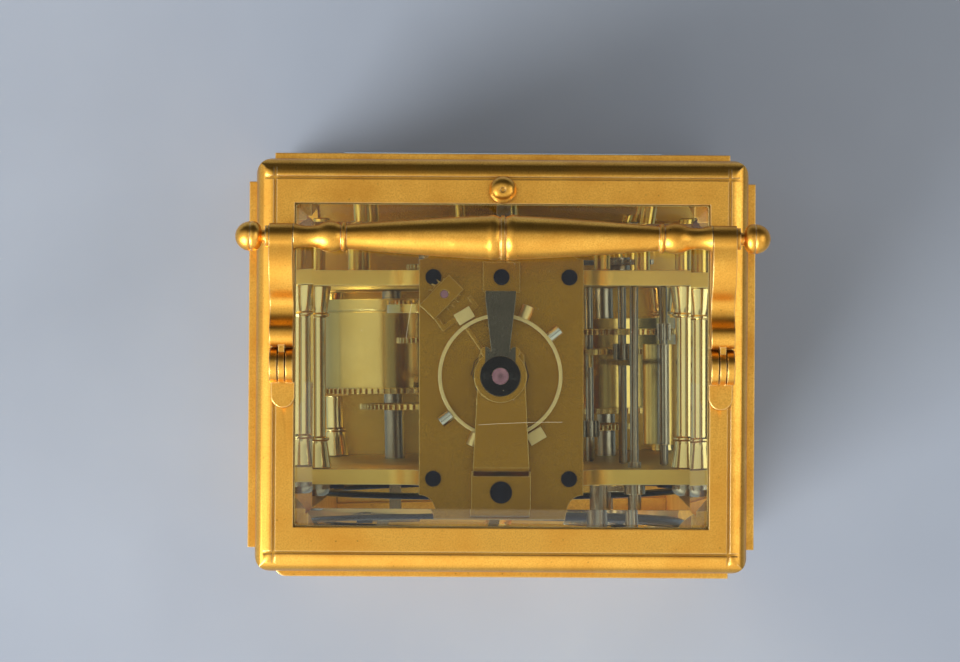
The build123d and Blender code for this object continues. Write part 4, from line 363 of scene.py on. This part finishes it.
def rubyJewel():
    # Synthetic ruby, turned and polished: pink and clear, darker in the oil sink round its hole
    material, tree, place = startMaterial("polishedRubyJewel")
    haze = addNode(tree, "ShaderNodeTexNoise", {
        "Vector": place, "Scale": 1 / (rubyLook["haze"] * mm), "Detail": 2.0}).outputs[0]
    tone = addNode(tree, "ShaderNodeMix", {
        0: haze, 6: linear(rubyLook["pale"]), 7: linear(rubyLook["deep"])}, data_type="RGBA").outputs[2]
    x, y = axisOf["balance"][:2]
    local = addNode(tree, "ShaderNodeVectorMath", {0: place, 1: (x, y, 0)}, operation="SUBTRACT").outputs[0]
    flat = addNode(tree, "ShaderNodeVectorMath", {0: local, 1: (1, 1, 0)}, operation="MULTIPLY").outputs[0]
    radius = addNode(tree, "ShaderNodeVectorMath", {0: flat}, operation="LENGTH").outputs["Value"]
    inner, outer = rubyLook["sinkRadii"]
    sink = addNode(tree, "ShaderNodeMapRange", {
        "Value": radius, "From Min": inner * mm, "From Max": outer * mm, "To Min": rubyLook["sinkDepth"],
        "To Max": 0.0}).outputs[0]
    tone = addNode(tree, "ShaderNodeMix", {
        0: sink, 6: tone, 7: linear(rubyLook["sink"])}, data_type="RGBA").outputs[2]
    shader = addNode(tree, "ShaderNodeBsdfPrincipled", {
        "Base Color": tone, "Roughness": rubyLook["rough"], "Transmission Weight": rubyLook["clear"],
        "Coat Weight": rubyLook["coat"]})
    finishMaterial(tree, shader.outputs[0])
    return material


enamelLook = {
    "white": "#F5F1E6", "cream": "#E9E2D0", "cloud": 6.0, "rough": 0.12, "coat": 0.5,
    "bump": 0.05, "bumpDepth": 0.05,
}


def glazedEnamel():
    # Kiln-fired white enamel: warm white, glossy, with the slightest unevenness and tiny bubbles
    material, tree, place = startMaterial("glazedDialEnamel")
    cloud = addNode(tree, "ShaderNodeTexNoise", {
        "Vector": place, "Scale": 1 / (enamelLook["cloud"] * mm), "Detail": 4.0}).outputs[0]
    white, cream = linear(enamelLook["white"]), linear(enamelLook["cream"])
    tone = addNode(tree, "ShaderNodeMix", {0: cloud, 6: white, 7: cream}, data_type="RGBA").outputs[2]
    normal = addNode(tree, "ShaderNodeBump", {
        "Height": cloud, "Strength": enamelLook["bump"],
        "Distance": enamelLook["bumpDepth"] * mm}).outputs[0]
    shader = addNode(tree, "ShaderNodeBsdfPrincipled", {
        "Base Color": tone, "Roughness": enamelLook["rough"], "Coat Weight": enamelLook["coat"],
        "Normal": normal})
    finishMaterial(tree, shader.outputs[0])
    return material


ruby = rubyJewel()
enamel = glazedEnamel()
print("glass, ruby and enamel made")


# Dressing: a finished copy of a CAD node, welded, with soft edges and smooth curves

# Where facets meet at a shallow angle the edge stays crisp: sharp above the first angle, softened above
# the second, in degrees
shallowFacets = {
    "top_glass": (5, 8), "front_glass": (5, 8), "side_glasses": (5, 8), "door_glass": (5, 8),
    "platform_cocks": (15, 20),
}
usualFacets = (28, 38)
weld = 0.0005 * mm  # points nearer than this are one point
flatAngle = 0.4  # degrees: facets flatter than this are one face


def dress(node, material, edgeWidth=0.0, second=None, cuts=()):
    sharpAngle, bevelAngle = shallowFacets.get(node, usualFacets)
    mesh = nodes[node].data.copy()
    mesh.materials.clear()
    mesh.materials.append(material)
    work = bmesh.new()
    work.from_mesh(mesh)
    bmesh.ops.remove_doubles(work, verts=work.verts, dist=weld)
    bmesh.ops.dissolve_limit(work, angle_limit=math.radians(flatAngle), verts=work.verts, edges=work.edges)
    for spot, across in cuts:
        # Flat faces are divided where their metal changes
        everything = work.verts[:] + work.edges[:] + work.faces[:]
        bmesh.ops.bisect_plane(work, geom=everything, dist=weld, plane_co=spot, plane_no=across)
    for face in work.faces:
        face.smooth = True
    if second:
        # Faces that pass the test are of the second metal, such as the arbor inside a wheel
        otherMaterial, test = second
        mesh.materials.append(otherMaterial)
        for face in work.faces:
            face.material_index = int(test(face.calc_center_median()))
    work.to_mesh(mesh)
    work.free()
    mesh.set_sharp_from_angle(angle=math.radians(sharpAngle))
    piece = bpy.data.objects.new(node + ".dressed", mesh)
    bpy.context.scene.collection.objects.link(piece)
    if edgeWidth:
        bevel = piece.modifiers.new("softEdges", "BEVEL")
        bevel.width = edgeWidth * mm
        bevel.segments = 2
        bevel.limit_method = "ANGLE"
        bevel.angle_limit = math.radians(bevelAngle)
        bevel.harden_normals = True
    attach(piece, bodyOf[node])
    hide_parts(node)
    return piece


def nearAxis(node, radius):
    x, y, z = axisOf[bodyOf[node]]
    return lambda spot: math.hypot(spot.x - x, spot.z - z) < radius * mm


gilt = metals["fireGiltBrass"]
movementBrass = metals["gildedMovementBrass"]
plateBrass = metals["gildedPlateBrass"]
platformBrass = metals["grainedPlatformBrass"]
wheelBrass = metals["polishedWheelBrass"]
maskBrass = metals["mattedMaskBrass"]
blued = metals["heatBluedSteel"]
blackSteel = metals["blackPolishedSteel"]
steel = metals["turnedSteel"]

# Node, material, slot, edge softening in millimetres
dressing = [
    ("base_moulding", gilt, "gilt_brass", 0.25),
    ("case_pillars", gilt, "gilt_brass", 0.2),
    ("cornice_frame", gilt, "gilt_brass", 0.2),
    ("top_frame", gilt, "gilt_brass", 0.15),
    ("door_frame", gilt, "gilt_brass", 0.2),
    ("door_knob", gilt, "gilt_brass", 0),
    ("handle_posts", gilt, "gilt_brass", 0.15),
    ("handle_arms", gilt, "gilt_brass", 0.2),
    ("handle_grip", gilt, "gilt_brass", 0),
    ("handle_finials", gilt, "gilt_brass", 0),
    ("repeat_button", gilt, "gilt_brass", 0),
    ("base_plate", movementBrass, "movement_brass", 0.15),
    ("front_plate", plateBrass, "movement_brass", 0.15),
    ("back_plate", plateBrass, "movement_brass", 0.15),
    ("movement_pillars", metals["burnishedPillarBrass"], "movement_brass", 0.1),
    ("platform_plate", platformBrass, "movement_brass", 0.12),
    ("platform_cocks", platformBrass, "movement_brass", 0.12),
    ("dial_mask", maskBrass, "mask_brass", 0.1),
    ("gong_block", movementBrass, "movement_brass", 0.15),
    ("base_screws", blued, "blued_steel", 0.08),
    ("pillar_nuts", steel, "polished_steel", 0),
    ("back_plate_screws", blued, "blued_steel", 0.06),
    ("platform_screws", blued, "blued_steel", 0.05),
    ("front_posts", movementBrass, "polished_steel", 0),
    ("endstone_cap", blackSteel, "polished_steel", 0.04),
    ("balance_wheel", metals["paleGiltBalance"], "wheel_brass", 0.04),
    ("hairspring", blued, "blued_steel", 0),
    ("escape_wheel", platformBrass, "wheel_brass", 0),
    ("pallet_lever", platformBrass, "polished_steel", 0),
    ("cannon_pinion", steel, "polished_steel", 0),
    ("minute_hand", blued, "blued_steel", 0.05),
    ("hour_hand", blued, "blued_steel", 0.05),
    ("hour_wheel", wheelBrass, "wheel_brass", 0),
    ("rack", steel, "polished_steel", 0.05),
    ("repeat_lever", steel, "polished_steel", 0.08),
    ("hammer", steel, "polished_steel", 0.08),
    ("gong", blued, "blued_steel", 0),
    ("going_click", steel, "polished_steel", 0.08),
    ("strike_click", steel, "polished_steel", 0.08),
    ("going_winding_arbor", steel, "polished_steel", 0.05),
    ("strike_winding_arbor", steel, "polished_steel", 0.05),
]
for node, material, slotName, edgeWidth in dressing:
    dress(node, material, edgeWidth)

# Wheels of brass on steel arbors: what lies within this many millimetres of the arbor's axis is steel
arborReach = {
    "second_wheel": 2.5, "centre_wheel": 2.5, "third_wheel": 2.1, "contrate_wheel": 2.0,
    "strike_second_wheel": 2.5,
    "pin_wheel": 2.1, "gathering_wheel": 2.0, "fly": 1.6, "going_barrel": 2.2, "strike_barrel": 2.2,
    "minute_wheel": 2.2,
}
for node, reach in arborReach.items():
    dress(node, wheelBrass, 0, second=(steel, nearAxis(node, reach)))
# Balance screws: all gilt but one pair across the rim, which is steel
balanceX, balanceY = axisOf["balance"][:2]
steelPair = {"turn": math.radians(38), "reach": 2 * mm}


def onSteelPair(spot):
    x, y = spot.x - balanceX, spot.y - balanceY
    return abs(y * math.cos(steelPair["turn"]) - x * math.sin(steelPair["turn"])) < steelPair["reach"]


dress("balance_screws", metals["paleGiltBalance"], 0.03,
      second=(metals["whitePolishedScrew"], onSteelPair))

# Index: its ring lies over the end of the brass cock and is gilt like it, its tail and ears are grey steel
tailHalf, tailStart = 2.75 * mm, balanceY - 2.3 * mm


def onTail(spot):
    return spot.y < tailStart and abs(spot.x - balanceX) < tailHalf


dress("regulator", platformBrass, 0.06,
      cuts=[((balanceX - tailHalf, 0, 0), (1, 0, 0)), ((balanceX + tailHalf, 0, 0), (1, 0, 0)),
            ((0, tailStart, 0), (0, 1, 0))],
      second=(metals["greyGrainedSteel"], onTail))
dress("top_glass", topPlateGlass, 0.05,
      second=(edgeGlass, plateEdge("top_glass", (0, 1))))
for pane, axes in (("front_glass", (0, 2)), ("side_glasses", (1, 2)), ("door_glass", (0, 2))):
    dress(pane, sidePlateGlass, 0.05,
          second=(edgeGlass, plateEdge(pane, axes)))
dress("dial", enamel, 0.1)
dress("jewels", ruby, 0)
print("nodes dressed:", len(dressing) + len(arborReach) + 8)


# Dial: hour figures and minute track in fired black enamel, standing a hair above the white

dialFigures = {
    "figureRadius": 21.4, "figureHeight": 5.6, "thick": 0.85, "thin": 0.3, "serif": 0.28,
    "trackInner": 24.7, "trackOuter": 26.2, "trackLine": 0.16, "tick": 0.2, "fiveTick": 0.55,
    "proud": 0.03, "paint": "#0E0D10", "paintWorn": "#2A282B", "brushStroke": 0.5,
}
romanHours = ["XII", "I", "II", "III", "IIII", "V", "VI", "VII", "VIII", "IX", "X", "XI"]
# letter: advance, then strokes from and to (across, up) as shares of the height, with their weight
romanLetters = {
    "I": (0.30, [((0, 0), (0, 1), "thick"), ((-0.14, 0), (0.14, 0), "serif"),
                 ((-0.14, 1), (0.14, 1), "serif")]),
    "V": (0.62, [((-0.22, 1), (0, 0), "thick"), ((0.22, 1), (0, 0), "thin"),
                 ((-0.34, 1), (-0.08, 1), "serif"), ((0.10, 1), (0.34, 1), "serif")]),
    "X": (0.66, [((-0.22, 1), (0.22, 0), "thick"), ((0.22, 1), (-0.22, 0), "thin"),
                 ((-0.34, 1), (-0.08, 1), "serif"), ((0.10, 1), (0.34, 1), "serif"),
                 ((-0.34, 0), (-0.10, 0), "serif"), ((0.08, 0), (0.34, 0), "serif")]),
}


def blackEnamel(look):
    # Black enamel painted on and fired: glossy, edges a little soft, brush strokes just visible
    material, tree, place = startMaterial("firedBlackEnamel")
    strokes = addNode(tree, "ShaderNodeTexNoise", {
        "Vector": place, "Scale": 1 / (look["brushStroke"] * mm), "Detail": 2.0}).outputs[0]
    tone = addNode(tree, "ShaderNodeMix", {
        0: strokes, 6: linear(look["paint"]), 7: linear(look["paintWorn"])}, data_type="RGBA").outputs[2]
    rough = addNode(tree, "ShaderNodeMapRange", {
        "Value": strokes, "To Min": 0.12, "To Max": 0.3}).outputs[0]
    normal = addNode(tree, "ShaderNodeBump", {
        "Height": strokes, "Strength": 0.1, "Distance": 0.02 * mm}).outputs[0]
    shader = addNode(tree, "ShaderNodeBsdfPrincipled", {
        "Base Color": tone, "Roughness": rough, "Normal": normal})
    finishMaterial(tree, shader.outputs[0])
    return material


def stroke(work, start, end, width, depth):
    # A flat bar in the dial's plane, from start to end (across, up)
    (x0, z0), (x1, z1) = start, end
    made = bmesh.ops.create_cube(work, size=1.0)["verts"]
    bmesh.ops.scale(work, vec=(width, depth, math.hypot(x1 - x0, z1 - z0)), verts=made)
    bmesh.ops.rotate(work, matrix=Matrix.Rotation(math.atan2(x1 - x0, z1 - z0), 3, "Y"), verts=made)
    bmesh.ops.translate(work, vec=((x0 + x1) / 2, 0, (z0 + z1) / 2), verts=made)
    return made


def flatRing(work, radius, width, depth):
    # The outline of a small rectangle, spun round the dial's axis
    made = bmesh.ops.create_grid(work, x_segments=1, y_segments=1, size=0.5)["verts"]
    faces = list({face for vert in made for face in vert.link_faces})
    edges = list({edge for vert in made for edge in vert.link_edges})
    bmesh.ops.delete(work, geom=faces, context="FACES_ONLY")
    bmesh.ops.scale(work, vec=(width, depth, 1), verts=made)
    bmesh.ops.translate(work, vec=(radius, 0, 0), verts=made)
    bmesh.ops.spin(work, geom=made + edges, cent=(0, 0, 0), axis=(0, 1, 0), dvec=(0, 0, 0),
                   angle=math.tau, steps=144, use_merge=True, use_duplicate=False)


def finishPiece(work, name, material, body, centre):
    bmesh.ops.remove_doubles(work, verts=work.verts, dist=0.001 * mm)
    bmesh.ops.translate(work, vec=centre, verts=work.verts)
    bmesh.ops.recalc_face_normals(work, faces=work.faces)
    mesh = bpy.data.meshes.new(name)
    work.to_mesh(mesh)
    work.free()
    mesh.materials.append(material)
    piece = bpy.data.objects.new(name, mesh)
    bpy.context.scene.collection.objects.link(piece)
    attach(piece, body)
    return piece


def hourFigures(look, material, centre):
    work = bmesh.new()
    height, depth = look["figureHeight"] * mm, 2 * look["proud"] * mm
    for hour, word in enumerate(romanHours):
        turn = Matrix.Rotation(math.radians(30 * hour), 3, "Y")
        across = -sum(romanLetters[letter][0] for letter in word) / 2
        for letter in word:
            advance, strokes = romanLetters[letter]
            across += advance / 2
            for (x0, z0), (x1, z1), weight in strokes:
                start = ((across + x0) * height, z0 * height)
                end = ((across + x1) * height, z1 * height)
                made = stroke(work, start, end, look[weight] * mm, depth)
                bmesh.ops.translate(work, vec=(0, 0, look["figureRadius"] * mm - height / 2), verts=made)
                bmesh.ops.rotate(work, matrix=turn, verts=made)
            across += advance / 2
    return finishPiece(work, "hourFigures", material, "case", centre)


def minuteTrack(look, material, centre):
    work = bmesh.new()
    depth = 2 * look["proud"] * mm
    inner, outer = look["trackInner"] * mm, look["trackOuter"] * mm
    for radius in (inner, outer):
        flatRing(work, radius, look["trackLine"] * mm, depth)
    for minute in range(60):
        width = look["tick"] if minute % 5 else look["fiveTick"]
        made = stroke(work, (0, inner), (0, outer), width * mm, depth)
        bmesh.ops.rotate(work, matrix=Matrix.Rotation(math.radians(6 * minute), 3, "Y"), verts=made)
    return finishPiece(work, "minuteTrack", material, "case", centre)


dialLow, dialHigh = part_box("dial")
dialCentre = Vector(((dialLow.x + dialHigh.x) / 2, dialLow.y, (dialLow.z + dialHigh.z) / 2))
figureBlack = blackEnamel(dialFigures)
hourFigures(dialFigures, figureBlack, dialCentre)
minuteTrack(dialFigures, figureBlack, dialCentre)
print("dial figures made")


# Floor, world, lamps, camera

studio = {
    "floorPale": "#9AA2AF", "floorDeep": "#8F97A4", "floorSize": 6.0, "floorCloud": 120.0,
    "worldBright": "#F8F6F1", "worldDark": "#2C2C30", "worldStrength": 1.0,
    # how much height and the left count towards the bright side, and where dark ends and bright starts
    "leanUp": 0.55, "leanLeft": 0.35, "leanSpread": (-0.25, 0.62),
    # a small patch straight overhead is shaded: half angles in degrees, how bright, how far back
    "overheadPatch": (5.0, 10.0), "overheadLevel": 0.3, "overheadLean": 0.06,
    # lamp: place, target, size and watts
    "window": ((0.98, 0.84, 0.84), (0.0, 0.0, 0.09), 0.95, 33.0),
    "side": ((-0.9, -0.1, 0.8), (0.0, 0.0, 0.1), 0.70, 2.4),
    # a weak one low in front shows the dial, and is kept out of the brass
    "front": ((-0.25, -1.1, 0.30), (0.0, 0.0, 0.08), 0.80, 4.0),
}


def studioFloor():
    material, tree, place = startMaterial("paintedStudioFloor")
    cloud = addNode(tree, "ShaderNodeTexNoise", {
        "Vector": place, "Scale": 1 / (studio["floorCloud"] * mm), "Detail": 4.0}).outputs[0]
    cloud = addNode(tree, "ShaderNodeMapRange", {
        "Value": cloud, "From Min": 0.35, "From Max": 0.68}).outputs[0]
    pale, deep = linear(studio["floorPale"]), linear(studio["floorDeep"])
    tone = addNode(tree, "ShaderNodeMix", {0: cloud, 6: pale, 7: deep}, data_type="RGBA").outputs[2]
    shader = addNode(tree, "ShaderNodeBsdfPrincipled", {
        "Base Color": tone, "Roughness": 0.9, "Specular IOR Level": 0.15})
    finishMaterial(tree, shader.outputs[0])
    work = bmesh.new()
    bmesh.ops.create_grid(work, x_segments=1, y_segments=1, size=studio["floorSize"] / 2)
    mesh = bpy.data.meshes.new("studioFloor")
    work.to_mesh(mesh)
    work.free()
    mesh.materials.append(material)
    floor = bpy.data.objects.new("studioFloor", mesh)
    bpy.context.scene.collection.objects.link(floor)


def studioWorld():
    # A soft room: bright towards the window behind the clock, darker towards its front
    world = bpy.data.worlds.new("softStudio")
    bpy.context.scene.world = world
    world.use_nodes = True
    tree = world.node_tree
    tree.nodes.clear()
    direction = addNode(tree, "ShaderNodeTexCoord").outputs["Generated"]
    parts = addNode(tree, "ShaderNodeSeparateXYZ", {0: direction}).outputs
    lean = addNode(tree, "ShaderNodeMath", {
        0: parts["Z"], 1: studio["leanUp"]}, operation="MULTIPLY").outputs[0]
    lean = addNode(tree, "ShaderNodeMath", {
        0: parts["X"], 1: studio["leanLeft"], 2: lean}, operation="MULTIPLY_ADD").outputs[0]
    lean = addNode(tree, "ShaderNodeMath", {0: parts["Y"], 1: lean}, operation="ADD").outputs[0]
    start, end = studio["leanSpread"]
    share = addNode(tree, "ShaderNodeMapRange", {
        "Value": lean, "From Min": start, "From Max": end}, interpolation_type="SMOOTHSTEP").outputs[0]
    dark, bright = linear(studio["worldDark"]), linear(studio["worldBright"])
    tone = addNode(tree, "ShaderNodeMix", {0: share, 6: dark, 7: bright}, data_type="RGBA").outputs[2]
    inner, outer = (math.cos(math.radians(half)) for half in studio["overheadPatch"])
    # The patch leans a little towards the back
    centre = Vector((0, studio["overheadLean"], 1)).normalized()
    nearness = addNode(tree, "ShaderNodeVectorMath", {
        0: direction, 1: centre}, operation="DOT_PRODUCT").outputs["Value"]
    level = addNode(tree, "ShaderNodeMapRange", {
        "Value": nearness, "From Min": outer, "From Max": inner, "To Min": studio["worldStrength"],
        "To Max": studio["overheadLevel"]}, interpolation_type="SMOOTHSTEP").outputs[0]
    glow = addNode(tree, "ShaderNodeBackground", {"Color": tone, "Strength": level}).outputs[0]
    addNode(tree, "ShaderNodeOutputWorld", {"Surface": glow})


def aim(item, place, target):
    item.location = place
    away = Vector(place) - Vector(target)
    item.rotation_mode = "QUATERNION"
    item.rotation_quaternion = away.to_track_quat("Z", "Y")


def lamp(name, inMetal=True):
    place, target, size, watts = studio[name]
    light = bpy.data.lights.new(name, "AREA")
    light.shape = "SQUARE"
    light.size = size
    light.energy = watts
    item = bpy.data.objects.new(name, light)
    bpy.context.scene.collection.objects.link(item)
    item.visible_glossy = inMetal
    aim(item, place, target)


view = {
    "distance": 600.0,  # from the top frame, millimetres
    "lens": 126.0, "sensor": 36.0,
    "over": (3.93, -6.25),  # where the axis meets the top frame
    "roll": 0.35,
}


def camera():
    data = bpy.data.cameras.new("camera")
    data.lens = view["lens"]
    data.sensor_width = view["sensor"]
    item = bpy.data.objects.new("camera", data)
    bpy.context.scene.collection.objects.link(item)
    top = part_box("top_frame")[1].z
    item.location = (view["over"][0] * mm, view["over"][1] * mm, top + view["distance"] * mm)
    # Looking straight down with the front of the clock at the top of the picture
    item.rotation_euler = (0, 0, math.radians(180 + view["roll"]))
    data.clip_start = 0.01
    bpy.context.scene.camera = item


studioFloor()
studioWorld()
lamp("window")
lamp("side")
lamp("front", inMetal=False)
camera()
bpy.context.scene.view_settings.view_transform = "Standard"
print("studio made")
